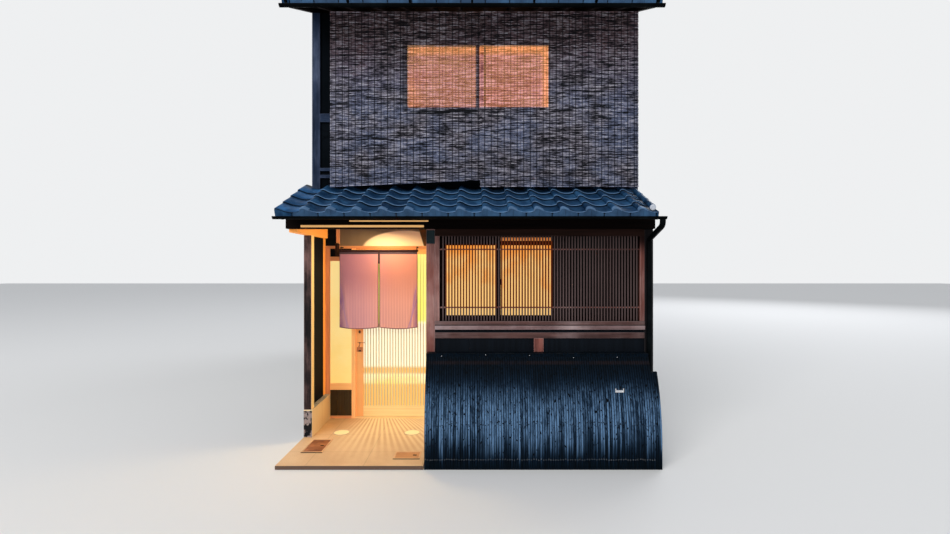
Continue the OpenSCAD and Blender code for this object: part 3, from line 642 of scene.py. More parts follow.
# The red wood takes a painted shadow under the eave over the lattice's right part
RED_WOOD = Timber("bengara wood", (0.31, 0.108, 0.086), (0.046, 0.016, 0.015), (0.44, 0.275, 0.255), 0.39,
                  1.0, 22.0, gloss=0.06, eave_shadow=((0.9, 1.7), (2.20, 2.42)))
SILL_WOOD = Timber("weathered sill", (0.20, 0.115, 0.115), (0.045, 0.025, 0.025), (0.44, 0.34, 0.345), 0.46,
                   1.0, 16.0, gloss=0.06)
RAIL_WOOD = Timber("weathered rail", (0.150, 0.076, 0.068), (0.024, 0.012, 0.012), (0.23, 0.165, 0.165), 0.40,
                   1.0, 20.0, gloss=0.05)
HEAD_WOOD = Timber("shaded rail", (0.030, 0.013, 0.010), (0.008, 0.004, 0.003), (0.060, 0.036, 0.033), 0.25,
                   0.8, 20.0, gloss=0.03)
SASH_HEAD = Timber("sash head rail", (0.115, 0.024, 0.009), (0.060, 0.011, 0.004), (0.14, 0.038, 0.016), 0.2,
                   0.4, gloss=0.04)
SHADED_POST = Timber("shaded post", (0.014, 0.013, 0.014), (0.005, 0.004, 0.005), (0.034, 0.031, 0.035), 0.3,
                     0.8, gloss=0.03)
DARK_WOOD = Timber("dark wood", (0.020, 0.014, 0.012), (0.006, 0.005, 0.005), (0.055, 0.045, 0.042), 0.25,
                   0.5, gloss=0.10)
GREY_WOOD = Timber("weathered wood", (0.018, 0.034, 0.074), (0.003, 0.007, 0.018), (0.13, 0.165, 0.27), 0.36,
                   0.8, gloss=0.06)
POST_WOOD = Timber("worn porch post", (0.020, 0.017, 0.018), (0.004, 0.004, 0.005), (0.32, 0.185, 0.170),
                   0.36, 1.0, 14.0, gloss=0.04)
WINDOW_WOOD = Timber("window wood", (0.06, 0.035, 0.025), (0.025, 0.015, 0.012), (0.14, 0.09, 0.07), 0.2, 0.3)
DARK_BOARD = Timber("dark board", (0.006, 0.009, 0.014), (0.003, 0.004, 0.006), (0.014, 0.018, 0.026), 0.2,
                    0.4, gloss=0.04)
CHAR_BOARD = Timber("charred board", (0.042, 0.036, 0.034), (0.012, 0.010, 0.010), (0.12, 0.105, 0.098), 0.35,
                    0.9, 40.0, damp_z=0.9, gloss=0.12)
LATH_WOOD = Timber("black lath", (0.004, 0.007, 0.011), (0.001, 0.002, 0.004), (0.014, 0.017, 0.022), 0.34,
                   0.5, 60.0, 0.5, gloss=0.03)
LAMPLIT_CYPRESS = Timber("lamplit cypress", (0.94, 0.62, 0.30), (0.82, 0.47, 0.20), (0.96, 0.72, 0.42), 0.10, 0.15,
                      lit=EVERYWHERE, light=(0.16, 0.17, 0.055))
BAR_CYPRESS = Timber("door bar", (0.74, 0.69, 0.43), (0.60, 0.52, 0.30), (0.80, 0.73, 0.48), 0.10, 0.10, 44.0,
                     lit=((ANYWHERE, (1.33, 9.0)),), light=(0.22, 0.33, 0.02))
BEAM_WOOD = Timber("lit beam", (0.84, 0.35, 0.12), (0.60, 0.21, 0.06), (0.86, 0.46, 0.22), 0.12, 0.2,
                   lit=EVERYWHERE, light=(0.48, 0.165, 0.012), outer_x=-2.0795)
BATTEN_WOOD = Timber("lit batten", (0.88, 0.58, 0.28), (0.74, 0.44, 0.18), (0.92, 0.66, 0.36), 0.10, 0.1,
                     lit=EVERYWHERE, light=(0.46, 0.22, 0.060))
OLIVE_BOARD = Timber("porch board", (0.080, 0.055, 0.027), (0.040, 0.026, 0.010), (0.11, 0.078, 0.040), 0.2,
                     0.3, gloss=0.1)
BAR_WOOD = Timber("lattice bar wood", (0.014, 0.006, 0.005), (0.003, 0.0015, 0.0015), (0.150, 0.102, 0.100),
                  0.20, 0.9, lit=(((-0.336, 0.245), (1.645, 2.36)), ((0.286, 0.866), (1.645, 2.40))),
                  light=(0.105, 0.016, 0.0), gloss=0.04, backlit_shade=0.85)
CEILING_WOOD = Timber("ceiling wood", (0.34, 0.17, 0.085), (0.17, 0.078, 0.040), (0.44, 0.27, 0.16), 0.2, 0.3)
GIRDER_WOOD = Timber("girder wood", (0.005, 0.0025, 0.002), (0.0015, 0.001, 0.001), (0.022, 0.012, 0.009),
                     0.25, 0.5, gloss=0.02)
SASH_WOOD = Timber("sash wood", (0.008, 0.004, 0.004), (0.003, 0.002, 0.002), (0.030, 0.016, 0.014), 0.2, 0.3,
                   gloss=0.03)
# Rim and gap colours are painted light and shade: field tiles' rims a pale highlight, verge tiles' rims a
# dark line
ROOF_TILE = Tile("smoked tile", (0.007, 0.032, 0.084), (0.028, 0.095, 0.205), (0.0015, 0.008, 0.026),
                 (0.15, 0.27, 0.46), (0.001, 0.003, 0.008))
VERGE_TILE = Tile("verge tile", (0.010, 0.062, 0.165), (0.045, 0.170, 0.400), (0.004, 0.022, 0.060),
                  (0.012, 0.030, 0.060), (0.001, 0.003, 0.008))
CREAM = Render("cream plaster", (0.72, 0.55, 0.34), (0.50, 0.38, 0.25), (0.82, 0.66, 0.42), 0.2)
TRANSOM = Render("transom plaster", (0.180, 0.128, 0.090), (0.13, 0.094, 0.063), (0.24, 0.172, 0.115), 0.2,
                 pool=((-0.958, 0.8, 2.34), (0.590, 9.0, 0.268)), shadow=(-0.773, 2.631, 0.295),
                 lit=(0.90, 0.69, 0.52), gloss=0.1)
SIDE_CREAM = Render("plinth side plaster", (0.86, 0.64, 0.36), (0.66, 0.44, 0.22), (0.92, 0.74, 0.46), 0.2)
DARK_PLASTER = Render("dark plaster", (0.0015, 0.0026, 0.0040), (0.001, 0.0015, 0.002), (0.004, 0.006, 0.009),
                      0.5, 0.5, gloss=0.02)
PARTY_WALL = Render("party wall mortar", (0.36, 0.35, 0.33), (0.20, 0.195, 0.19), (0.47, 0.46, 0.43), 0.5,
                    0.8, 0.0, 0.9)
MORTAR = Render("plinth mortar", (0.34, 0.33, 0.32), (0.16, 0.155, 0.155), (0.46, 0.45, 0.43), 0.6, 0.5, 0.0,
                0.25)
PEELING = Render("peeling plinth", (0.004, 0.006, 0.008), (0.003, 0.003, 0.004), (0.31, 0.255, 0.245), 0.5,
                 0.2, 1.0, gloss=0.05)
CONCRETE = Render("floor concrete", (0.40, 0.38, 0.35), (0.28, 0.27, 0.25), (0.50, 0.48, 0.44), 0.5, 0.4)
DARK_METAL = Metal("gutter metal", (0.001, 0.0016, 0.0020), (0.0045, 0.0068, 0.0085), 0.0, 0.42, 0.02)
BLACK_METAL = Metal("black iron", (0.045, 0.022, 0.014), (0.12, 0.07, 0.045), 0.0, 0.38, 0.2)
BROWN_METAL = Metal("brown door furniture", (0.56, 0.20, 0.075), (0.30, 0.11, 0.045), 0.0, 0.45, 0.3)
STEEL_RAIL = Metal("sill steel", (0.62, 0.50, 0.34), (0.40, 0.30, 0.20), 0.5, 0.34)
SILL_METAL = Metal("door sill", (0.95, 0.70, 0.34), (0.80, 0.52, 0.22), 0.2, 0.4)
PALE_METAL = Metal("pale zinc", (0.62, 0.63, 0.66), (0.30, 0.31, 0.34), 0.4, 0.45)
PLATE_RIM = Metal("cover plate rim", (0.78, 0.46, 0.24), (0.50, 0.26, 0.12), 0.0, 0.6)
RUST_PLATE = Metal("worn cover plate", (0.20, 0.052, 0.016), (0.62, 0.24, 0.085), 0.0, 0.5)
BRONZE_PLATE = Metal("bright cover plate", (0.60, 0.26, 0.095), (0.34, 0.13, 0.050), 0.0, 0.5)
ENAMEL = Metal("plain enamel", (0.005, 0.014, 0.018), (0.016, 0.036, 0.040), 0.0, 0.3, 0.12)
STRING = Metal("blind string", (0.003, 0.003, 0.004), (0.010, 0.009, 0.010), 0.0, 0.85, 0.05)
LOOP_CLOTH = Metal("loop cloth", (0.030, 0.014, 0.018), (0.055, 0.028, 0.034), 0.0, 0.9, 0.05)
ROD_WOOD = Timber("rod wood", (0.040, 0.015, 0.010), (0.014, 0.006, 0.005), (0.085, 0.040, 0.026), 0.2, 0.3,
                  gloss=0.1)
DARK_NAIL = Metal("dark nail", (0.002, 0.003, 0.005), (0.006, 0.008, 0.011), 0.0, 0.5, 0.05)
END_CAP = Metal("lime end cap", (0.62, 0.66, 0.74), (0.36, 0.40, 0.48), 0.0, 0.8)
LAMP_GLASS = Pane("floor lamp glass", (0.8, 0.7, 0.5), (1.0, 0.74, 0.30), (1.0, 0.80, 0.40), -3.0, 3.0, 0.0,
                  0.1, 0.7)
SIDE_PANE = Pane("side light glass", (0.5, 0.4, 0.2), (1.0, 0.68, 0.20), (1.0, 0.78, 0.32), -3.0, 3.0, 0.5,
                 2.2, 0.80)
DOOR_PANE = Pane("door glass", (0.5, 0.4, 0.2), (0.98, 0.71, 0.21), (1.0, 0.94, 0.74), -3.0, 3.0, 0.50, 1.25,
                 0.93, 1.1,
                 (((0.644, 0.737), -9.0, (0.84, 0.40, 0.10)), ((0.18, 0.505), -9.0, (0.84, 0.40, 0.10)),
                  ((1.36, 9.0), -0.85, (1.0, 0.93, 0.19))))
UPPER_PANE = Pane("upper window glass", (0.02, 0.02, 0.025), (0.95, 0.36, 0.13), (1.0, 0.52, 0.20), -0.83,
                  0.90, 4.0, 4.9, 1.3)
BAY_PANE = Pane("bay window glass", (0.002, 0.003, 0.003), (1.0, 0.34, 0.050), (1.0, 0.62, 0.22), -0.36, 0.90,
                2.35, 1.55, 0.92, 0.55, (((2.405, 9.0), -9.0, (0.50, 0.15, 0.04)),), 0.9, 0.08)
NOREN_CLOTH = Cloth("noren cloth", (0.31, 0.125, 0.23), (0.46, 0.185, 0.155), (0.045, 0.022, 0.045),
                    (0.22, 0.10, 0.34),
                    (0.92, 0.50, 0.36), (-1.78, -1.0))
REED = Reed("split reed", (0.240, 0.218, 0.268), (0.158, 0.188, 0.305), (0.003, 0.004, 0.007),
            (0.58, 0.57, 0.66),
            (0.17, 0.080, 0.068), (0.95, 0.29, 0.070), (0.50, 0.150, 0.130), -0.777, 0.851, 3.965, 4.67, 0.03,
            0.0755)
PORCH_PAVING = Paving("porch paving", (0.68, 0.42, 0.22), (0.80, 0.54, 0.30), (0.36, 0.20, 0.10),
                      (0.98, 0.80, 0.46),
                      (0.10, 0.055, 0.035), (-1.768, -0.495), (0.607, 0.60), (-1.45, 1.8), 0.80, 0.038)
LATH = Lath("split lath", (0.0015, 0.006, 0.013), (0.014, 0.042, 0.092), (0.118, 0.225, 0.390),
            (0.0005, 0.002, 0.004),
            (0.050, 0.024, 0.018))


# Of a block's faces: the number of the one at its low Y, and how many worn ones come last
FRONT, ARRISES = 2, 20


def spread_even(start: float, end: float, about: float) -> tuple[int, float]:
    """How many equal steps of about a size fit between two places, and their exact size."""
    count = max(1, round((end - start) / about))
    return count, (end - start) / count


def turns(count: int, start: float = 0.0, sweep: float = math.tau) -> list[Span]:
    """The cosine and sine of equal steps from an angle; less than a whole turn has both its ends."""
    step = sweep / (count if sweep == math.tau else count - 1)
    return [(math.cos(start + step * i), math.sin(start + step * i)) for i in range(count)]


def spots(*nodes: str) -> list[Vector]:
    """The corner points of CAD nodes."""
    return [vertex.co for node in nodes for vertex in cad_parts[node].data.vertices]


def extent(points: Sequence[Vector]) -> list[Point]:
    """The lowest and the highest corner of the box round some points."""
    return [tuple(pick(q[i] for q in points) for i in range(3)) for pick in (min, max)]


class Shape:
    """Collects the points and faces of one mesh, with grain, tone and edge attributes."""

    def __init__(self) -> None:
        """Starts empty."""
        self.points: list[Point] = []
        self.faces: list[tuple[int, ...]] = []
        self.grain: list[Point] = []
        self.tone: list[float] = []
        self.edge: list[float] = []
        self.side: list[float] = []

    def add(self, points: Sequence[Point], faces: Sequence[Sequence[int]], axis: Axis, tone: float,
            edges: int = 0) -> "Shape":
        """Adds one solid.

        Args:
            points: Its points.
            faces: Its faces, as numbers of those points.
            axis: The way its grain runs.
            tone: Its own tone, which also shifts its pattern.
            edges: How many of the last faces are worn arrises.

        Returns:
            This shape.
        """
        first, turn = len(self.points), axis.value
        self.points += [tuple(q) for q in points]
        self.grain += [(q[turn], q[(turn + 1) % 3], q[(turn + 2) % 3]) for q in points]
        self.tone += [tone] * len(points)
        self.faces += [tuple(first + i for i in face) for face in faces]
        self.edge += [0.0] * (len(faces) - edges) + [1.0] * edges
        return self

    def block(self, low: Sequence[float], high: Sequence[float], axis: Axis = Axis.X, chamfer: float = 0.002,
              tone: float = 0.0) -> "Shape":
        """Adds a box with chamfered arrises; put turns its faces outwards.

        Args:
            low: Its lowest corner.
            high: Its highest corner.
            axis: The way its grain runs.
            chamfer: The width of its chamfers.
            tone: Its own tone.

        Returns:
            This shape.
        """
        cut = min(chamfer, *(0.3 * (high[i] - low[i]) for i in range(3)))
        signs = [(a, b, c) for a in (0, 1) for b in (0, 1) for c in (0, 1)]
        # Each corner of the box has one point on each of its three faces; flat is that face's axis
        points = [tuple((low, high)[sign[i]][i] + (0.0 if i == flat else cut - 2 * cut * sign[i])
                        for i in range(3)) for sign in signs for flat in range(3)]

        weight, square = (12, 6, 3), ((0, 0), (1, 0), (1, 1), (0, 1))
        faces, arrises = [], []
        for k in range(3):
            i, j = (k + 1) % 3, (k + 2) % 3
            for side in (0, 1):
                faces.append([weight[k] * side + weight[i] * a + weight[j] * b + k for a, b in square])
            for foot in (weight[i] * a + weight[j] * b for a, b in square):
                arrises.append([foot + i, foot + weight[k] + i, foot + weight[k] + j, foot + j])
        corners = [range(first, first + 3) for first in range(0, 24, 3)]
        return self.add(points, faces + arrises + corners, axis, tone, ARRISES)

    def prism(self, outline: Sequence[Span], along: Axis, start: float, end: float,
              axis: Axis | None = None, tone: float = 0.0) -> "Shape":
        """Adds an extruded outline.

        Args:
            outline: Points on the two axes that follow the extrusion's axis in turn.
            along: The extrusion's axis.
            start: Where it starts.
            end: Where it ends.
            axis: The way its grain runs, or None for the extrusion's axis.
            tone: Its own tone.

        Returns:
            This shape.
        """
        turn = 3 - along.value
        rows = []
        for level in (start, end):
            rings = [(level, *q) for q in outline]
            rows.append([tuple(q[(i + turn) % 3] for i in range(3)) for q in rings])
        return self.skin(rows, axis or along, tone)

    def skin(self, rows: Sequence[Sequence[Point]], axis: Axis = Axis.X, tone: float = 0.0) -> "Shape":
        """Adds a closed surface over rings of points, each with as many, and closes its two ends.

        Args:
            rows: The rings.
            axis: The way its grain runs.
            tone: Its own tone.

        Returns:
            This shape.
        """
        n, last = len(rows[0]), (len(rows) - 1) * len(rows[0])
        faces = [(k + i, k + (i + 1) % n, k + n + (i + 1) % n, k + n + i)
                 for k in range(0, last, n) for i in range(n)]
        faces += [range(n)[::-1], range(last, last + n)]
        return self.add([q for row in rows for q in row], faces, axis, tone)

    def mesh(self, name: str) -> bpy.types.Mesh:
        """The mesh with its attributes."""
        mesh = bpy.data.meshes.new(name)
        mesh.from_pydata(self.points, [], self.faces)
        flat_grain = [c for q in self.grain for c in q]
        mesh.attributes.new("grain", "FLOAT_VECTOR", "POINT").data.foreach_set("vector", flat_grain)
        for key, domain, values in (("tone", "POINT", self.tone), ("edge", "FACE", self.edge),
                                    ("side", "POINT", self.side)):
            if values:
                mesh.attributes.new(key, "FLOAT", domain).data.foreach_set("value", values)
        return mesh


@cache
def copy_tree() -> bpy.types.NodeTree:
    """The Geometry Nodes tree that lays copies of its object's mesh on a grid.

    Returns:
        The tree: points, copies, disorder, realized instances and the material.
    """
    group = bpy.data.node_groups.new("copies on a grid", "GeometryNodeTree")
    t = Tree(group)
    kinds = {"Geometry": "Geometry", "Columns": "Int", "Rows": "Int", "Start": "Vector", "Step": "Vector",
             "Rise": "Vector", "Jitter": "Vector", "Waver": "Vector",
             "Waver Scale": "Vector",
             "Seed": "Int", "Material": "Material"}
    for name, kind in kinds.items():
        group.interface.new_socket(name, in_out="INPUT", socket_type="NodeSocket" + kind)
    group.interface.new_socket("Geometry", in_out="OUTPUT", socket_type="NodeSocketGeometry")
    entry = t.node("NodeGroupInput", {}, {})
    given = {name: Val(t, entry.outputs[name]) for name in kinds}

    def scaled(vector: Val, size: Val) -> Val:
        """A vector times a number."""
        return t.val("ShaderNodeVectorMath", {"operation": "SCALE"}, {0: vector, "Scale": size})

    jitter = given["Jitter"]
    ends = {0: t.vector("MULTIPLY", jitter, (-1.0, -1.0, -1.0)), 1: jitter, "Seed": given["Seed"]}
    nudge = t.val("FunctionNodeRandomValue", {"data_type": "FLOAT_VECTOR"}, ends)
    index = t.val("GeometryNodeInputIndex")
    column = index.math("MODULO", index, given["Columns"])
    row = ((index + 0.5) / given["Columns"]).math("FLOOR")
    place = t.vector("ADD", scaled(given["Step"], column), scaled(given["Rise"], row))
    place = t.vector("ADD", t.vector("ADD", place, given["Start"]), nudge)
    points = t.val("GeometryNodePoints", {}, {"Count": given["Columns"] * given["Rows"], "Position": place})
    copies = t.val("GeometryNodeInstanceOnPoints", {}, {
        "Points": points, "Instance": given["Geometry"]})
    own = t.val("FunctionNodeRandomValue", {"data_type": "FLOAT"},
                {2: 0.0, 3: 1.0, "Seed": given["Seed"] + 2}, 1)
    copies = t.val("GeometryNodeStoreNamedAttribute", {"data_type": "FLOAT", "domain": "INSTANCE"},
                   {"Geometry": copies, "Name": "copy", "Value": own})
    solid = t.val("GeometryNodeRealizeInstances", {}, {0: copies})
    cells = t.vector("MULTIPLY", t.val("GeometryNodeInputPosition"), given["Waver Scale"])
    wave = t.val("ShaderNodeTexNoise", {}, {"Vector": cells, "Scale": 1.0, "Detail": 2.0}, "Color")
    wave = t.vector("MULTIPLY", t.vector("SUBTRACT", wave, (0.5, 0.5, 0.5)), given["Waver"])
    solid = t.val("GeometryNodeSetPosition", {}, {"Geometry": solid, "Offset": wave})
    solid = t.val("GeometryNodeSetMaterial", {}, {"Geometry": solid, "Material": given["Material"]})
    t.node("NodeGroupOutput", {}, {0: solid})
    return group


@dataclass(frozen=True)
class Copies:
    """Where the copies of one element go: columns and rows, with a little disorder."""

    columns: int
    start: Point = STILL
    step: Point = STILL
    rows: int = 1
    rise: Point = STILL
    jitter: Point = STILL
    waver: Point = STILL
    waver_scale: Point = (1.0, 1.0, 1.0)
    seed: int = 1

    def lay(self, element: bpy.types.Mesh, finish: Finish) -> bpy.types.Mesh:
        """Lays the copies and bakes them to one plain mesh.

        Args:
            element: The mesh that is copied.
            finish: Its finish.

        Returns:
            The mesh of all copies.
        """
        holder = bpy.data.objects.new(element.name, element)
        bpy.context.scene.collection.objects.link(holder)
        modifier = holder.modifiers.new("copies", "NODES")
        modifier.node_group = copy_tree()
        for socket in copy_tree().interface.items_tree:
            field = socket.name.lower().replace(" ", "_")
            if field == "material":
                modifier[socket.identifier] = finish.material()
            elif hasattr(self, field):
                modifier[socket.identifier] = getattr(self, field)
        evaluated = holder.evaluated_get(bpy.context.evaluated_depsgraph_get())
        mesh = bpy.data.meshes.new_from_object(evaluated)
        bpy.data.objects.remove(holder)
        return mesh


def along_x(count: int, start: float, step: float, seed: int, **disorder: Point) -> Copies:
    """A row of copies along X."""
    return Copies(count, (start, 0.0, 0.0), (step, 0.0, 0.0), seed=seed, **disorder)


def outward(mesh: bpy.types.Mesh) -> bpy.types.Mesh:
    """The mesh of closed solids with its faces turned outwards."""
    book = bmesh.new()
    book.from_mesh(mesh)
    bmesh.ops.recalc_face_normals(book, faces=book.faces)
    book.to_mesh(mesh)
    book.free()
    return mesh


def put(name: str, made: Shape | bpy.types.Mesh, finish: Finish, slot: str, *replaces: str,
        body: Body = Body.HOUSE, smooth: bool = False, copies: Copies | None = None) -> bpy.types.Object:
    """Puts one finished piece into the scene.

    Args:
        name: The piece's name.
        made: Its shape, in the frame's metres, or its finished mesh.
        finish: Its finish.
        slot: The record's material slot that it belongs to; not used.
        replaces: The CAD nodes that it stands for.
        body: The body that it rides on.
        smooth: Whether its faces are shaded smoothly.
        copies: Where the shape's copies go, if it is an element of a row or a field.

    Returns:
        The new object.
    """
    mesh = made
    if isinstance(made, Shape):
        mesh = made.mesh(name)
        mesh = outward(copies.lay(mesh, finish) if copies else mesh)
    thing = bpy.data.objects.new(name, mesh)
    bpy.context.scene.collection.objects.link(thing)
    mesh.materials.clear()
    mesh.materials.append(finish.material())
    for polygon in mesh.polygons:
        polygon.material_index = 0
        polygon.use_smooth = smooth
    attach(thing, body.value)
    if replaces:
        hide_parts(*replaces)
    log.info("%s: %d faces", name, len(mesh.polygons))
    return thing


def dress(finishes: dict[str, Finish]) -> None:
    """Gives each CAD node its finish."""
    for node, finish in finishes.items():
        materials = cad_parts[node].data.materials
        materials.clear()
        materials.append(finish.material())
        log.info("%s: finished", node)


def bar(places: Sequence[tuple[Point, float]], sides: int = 10) -> list[list[Point]]:
    """Rings of points round a bent bar.

    Args:
        places: Its middle points, each with the bar's radius there.
        sides: The points in a ring.

    Returns:
        The rings, for a closed skin.
    """
    rows = []
    side = None
    for k, (place, radius) in enumerate(places):
        before, after = Vector(places[max(k - 1, 0)][0]), Vector(places[min(k + 1, len(places) - 1)][0])
        way = (after - before).normalized()
        side = side or way.orthogonal().normalized()
        side = (side - way * side.dot(way)).normalized()
        up = way.cross(side)
        rows.append([tuple(Vector(place) + (side * c + up * s) * radius) for c, s in turns(sides)])
    return rows


def elbowed(corners: Sequence[Point], radius: float, steps: int = 5) -> list[Point]:
    """A path through corners, with each inner corner rounded.

    Args:
        corners: The path's corners.
        radius: How far from a corner its bend starts.
        steps: The steps in a bend.

    Returns:
        The path's points.
    """
    path = [corners[0]]
    for before, here, after in zip(corners, corners[1:], corners[2:]):
        here = Vector(here)
        start, end = (here + (Vector(q) - here).normalized() * radius for q in (before, after))
        for t in (i / steps for i in range(steps + 1)):
            path.append(tuple(start * (1 - t) ** 2 + here * 2 * t * (1 - t) + end * t ** 2))
    return path + [corners[-1]]


@dataclass
class TileRoof:
    """One slope of pantiles with its boards, rafters, eave tiles and verges."""

    node: str
    name: str
    side: int = -1
    seed: int = 3
    lead: float = 0.62
    strip: float = 0.55
    roll_x: float = 0.0
    pitch: float = 0.266
    course: float = 0.235
    lap: float = 0.06
    tile_t: float = 0.014
    crest_h: float = 0.048
    rafter_w: float = 0.045
    rafter_h: float = 0.05
    rafter_pitch: float = 0.303
    plate_h: float = 0.066
    plate_out: float = 0.004
    joint: float = 0.0055
    roll_r: float = 0.031
    cover_l: float = 0.235

    # Height of a tile's top across its pitch, as shares of the pitch and of the crest
    SECTION = ((0.0, 0.34), (0.03, 0.78), (0.09, 0.98), (0.15, 0.98), (0.24, 0.80), (0.36, 0.42),
               (0.49, 0.13),
               (0.62, 0.0), (0.76, 0.0), (0.88, 0.08), (0.96, 0.20), (1.04, 0.34))

    # The same for a verge tile, as shares of the strip that it covers: a raised rim and a long hollow
    VERGE = ((0.0, -1.1), (0.0, 0.80), (0.03, 0.90), (0.10, 0.88), (0.24, 0.58), (0.40, 0.25), (0.56, 0.06),
             (0.70, 0.0), (0.84, 0.07), (0.96, 0.22), (1.10, 0.40))

    def __post_init__(self) -> None:
        """Reads the slope from the CAD node and fits whole tiles to it."""
        low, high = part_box(self.node)
        self.eave_y, head_y = (low.y, high.y)[::-self.side]
        self.corner_x = (low.x, high.x)[::-self.side][0]
        at_eave, at_head = ([c.z for c in spots(self.node) if abs(c.y - y) < 1e-4]
                            for y in (self.eave_y, head_y))
        run = abs(head_y - self.eave_y)
        self.top_z = max(at_eave)
        self.angle = math.atan((min(at_head) - min(at_eave)) / run)
        self.thick = (self.top_z - min(at_eave)) * math.cos(self.angle)
        self.width, self.length = high.x - low.x, run / math.cos(self.angle)
        self.columns, self.pitch = spread_even(0.0, self.width - self.pitch * self.strip, self.pitch)
        self.courses, self.course = spread_even(0.0, self.length - 0.02, self.course)

    def at(self, u: float, v: float, w: float) -> Point:
        """The point u across from the left verge, v up from the eave and w above the rolls' tops."""
        cos, sin = math.cos(self.angle), math.sin(self.angle)
        return (self.corner_x - self.side * u, self.eave_y - self.side * (v * cos - w * sin),
                self.top_z + v * sin + w * cos)

    def way(self, u: float, v: float) -> Point:
        """The step across and up the slope."""
        return tuple(Vector(self.at(u, v, 0.0)) - Vector(self.at(0.0, 0.0, 0.0)))

    def top(self, u: float, section: Sequence[Span] = SECTION) -> float:
        """A tile's top at a share of its pitch, over the tops of the rolls."""
        spans = zip(section, section[1:])
        heights = (h0 + (h1 - h0) * (u - u0) / (u1 - u0) for (u0, h0), (u1, h1) in spans if u0 <= u <= u1)
        return self.crest_h * (next(heights, 0.0) - 1.0)

    def tile(self, section: Sequence[Span], width: float) -> Shape:
        """One tile at the verge corner of the eave, closed, with its nose marked for painted rim light and
        its front face for painted shade.

        Args:
            section: The height of its top across its width, as shares.
            width: The width that the shares are of.

        Returns:
            The tile.
        """
        nose, sag, length, n = 0.006, self.tile_t * 1.25, self.course + self.lap, len(section)
        first, last = section[0][0] * width, section[-1][0] * width
        # Rows across the tile: the place up the slope, how low it is, and how far in it starts
        rows = ((0.0, nose, 0.0), (nose, 0.0, 0.0), (length / 2, sag / 2, 0.0), (length, sag, 0.0),
                (length, self.tile_t + sag, self.tile_t), (0.0, self.tile_t, self.tile_t))
        loops = [[self.at(min(max(u * width, first + inset), last - inset), v,
                          (h - 1.0) * self.crest_h - drop)
                  for u, h in section] for v, drop, inset in rows]
        made = Shape().skin(list(zip(*loops)), Axis.Y)
        # Tone holds the place up the tile, for painted shade under the lap; edge 1 marks the nose for painted
        # light, -1 the front face for painted shade
        made.tone = [0.0, nose / length, 0.5, 1.0, 1.0, 0.0] * n
        made.edge[0:-2:6], made.edge[5:-2:6] = [1.0] * (n - 1), [-1.0] * (n - 1)
        return made

    def eave_tile(self) -> Shape:
        """The two front plates of an eave tile, each half a pitch wide, and its raised lip.

        Returns:
            The eave tile.
        """
        seam, corner, depth, lift, steps = 0.0012, 0.014, 0.016, 0.0035, 8
        bottom = -self.crest_h - self.plate_h
        made = Shape()
        for start, end, before, after in ((-0.30, 0.20, self.joint, seam), (0.20, 0.70, seam, self.joint)):
            left, right = start * self.pitch + before, end * self.pitch - after
            round_end = 0 if after == self.joint else steps
            outline = [(left, bottom), (right, bottom)]
            for i in range(steps + 1):
                u = right + (left - right) * i / steps
                outline.append((u, self.top(u / self.pitch) - 0.002 - (corner if i == round_end else 0.0)))
            front = [self.at(u, -self.plate_out, w) for u, w in outline]
            made.skin([front, [(x, y - self.side * depth, z) for x, y, z in front]])
            # The plate's front face takes some rim colour: a painted highlight
            made.edge[-2] = 0.3
        lip = [u for u, _ in self.SECTION[:6]]
        knob = [(u * self.pitch, self.top(u) + lift) for u in lip]
        knob += [(u * self.pitch, self.top(u) - 0.010) for u in reversed(lip)]
        made.skin([[self.at(u, v, w) for u, w in knob] for v in (-0.010, 0.045)])
        # The lip takes the rim colour: a painted highlight
        made.edge[-len(knob) - 2:] = [0.9] * (len(knob) + 2)
        return made

    def build(self) -> None:
        """Builds the tiles, eave plates, verges, boards and rafters."""
        nudge = (0.0015, 0.0015, 0.0012)
        strip, start = self.lead * self.pitch, self.columns - 1 + self.lead
        base, across, up = self.way(strip, 0.0), self.way(self.pitch, 0.0), self.way(0.0, self.course)
        put(self.name + "_tiles", self.tile(self.SECTION, self.pitch), ROOF_TILE, "roof_tile", self.node,
            smooth=True,
            copies=Copies(self.columns - 1, base, across, self.courses, up, nudge, seed=self.seed))
        put(self.name + "_eave_plates", self.eave_tile(), ROOF_TILE, "roof_tile",
            copies=Copies(self.columns, base, across, seed=self.seed + 5))
        column = Copies(1, rows=self.courses, rise=up, jitter=(0.0, *nudge[1:]), seed=self.seed + 9)
        put(self.name + "_verge", self.tile(self.VERGE, strip), VERGE_TILE, "roof_tile", smooth=True,
            copies=column)
        near, far = strip - 0.30 * self.pitch - self.joint, (start + 0.70) * self.pitch + self.joint
        foot = -self.crest_h - self.plate_h
        hollow = [(near * i / 8,
                   self.top(near * i / 8 / strip, self.VERGE[1:]) - self.tile_t) for i in range(9)]
        for k, edge in enumerate((hollow, [(far, -self.crest_h), (self.width, -self.crest_h)])):
            face = [(edge[0][0], foot), (edge[-1][0], foot)] + edge[::-1]
            plate = Shape().skin([[self.at(u, v, w) for u, w in face] for v in (-self.plate_out, 0.014)])
            put(f"{self.name}_end_plate_{k}", plate, ROOF_TILE, "roof_tile")
        right = self.width / self.pitch
        far_side = [(start + u, h) for u, h in self.SECTION if start + u < right - 0.02]
        far_side += [(right, 0.12), (right, -1.1)]
        put(self.name + "_far_verge", self.tile(far_side, self.pitch), ROOF_TILE, "roof_tile", smooth=True,
            copies=replace(column, jitter=(0.0, 0.001, 0.001), seed=self.seed + 13))
        self.build_timbers()
        if self.roll_x:
            self.build_roll()
        log.info("%s: %d columns by %d courses", self.name, self.columns, self.courses)

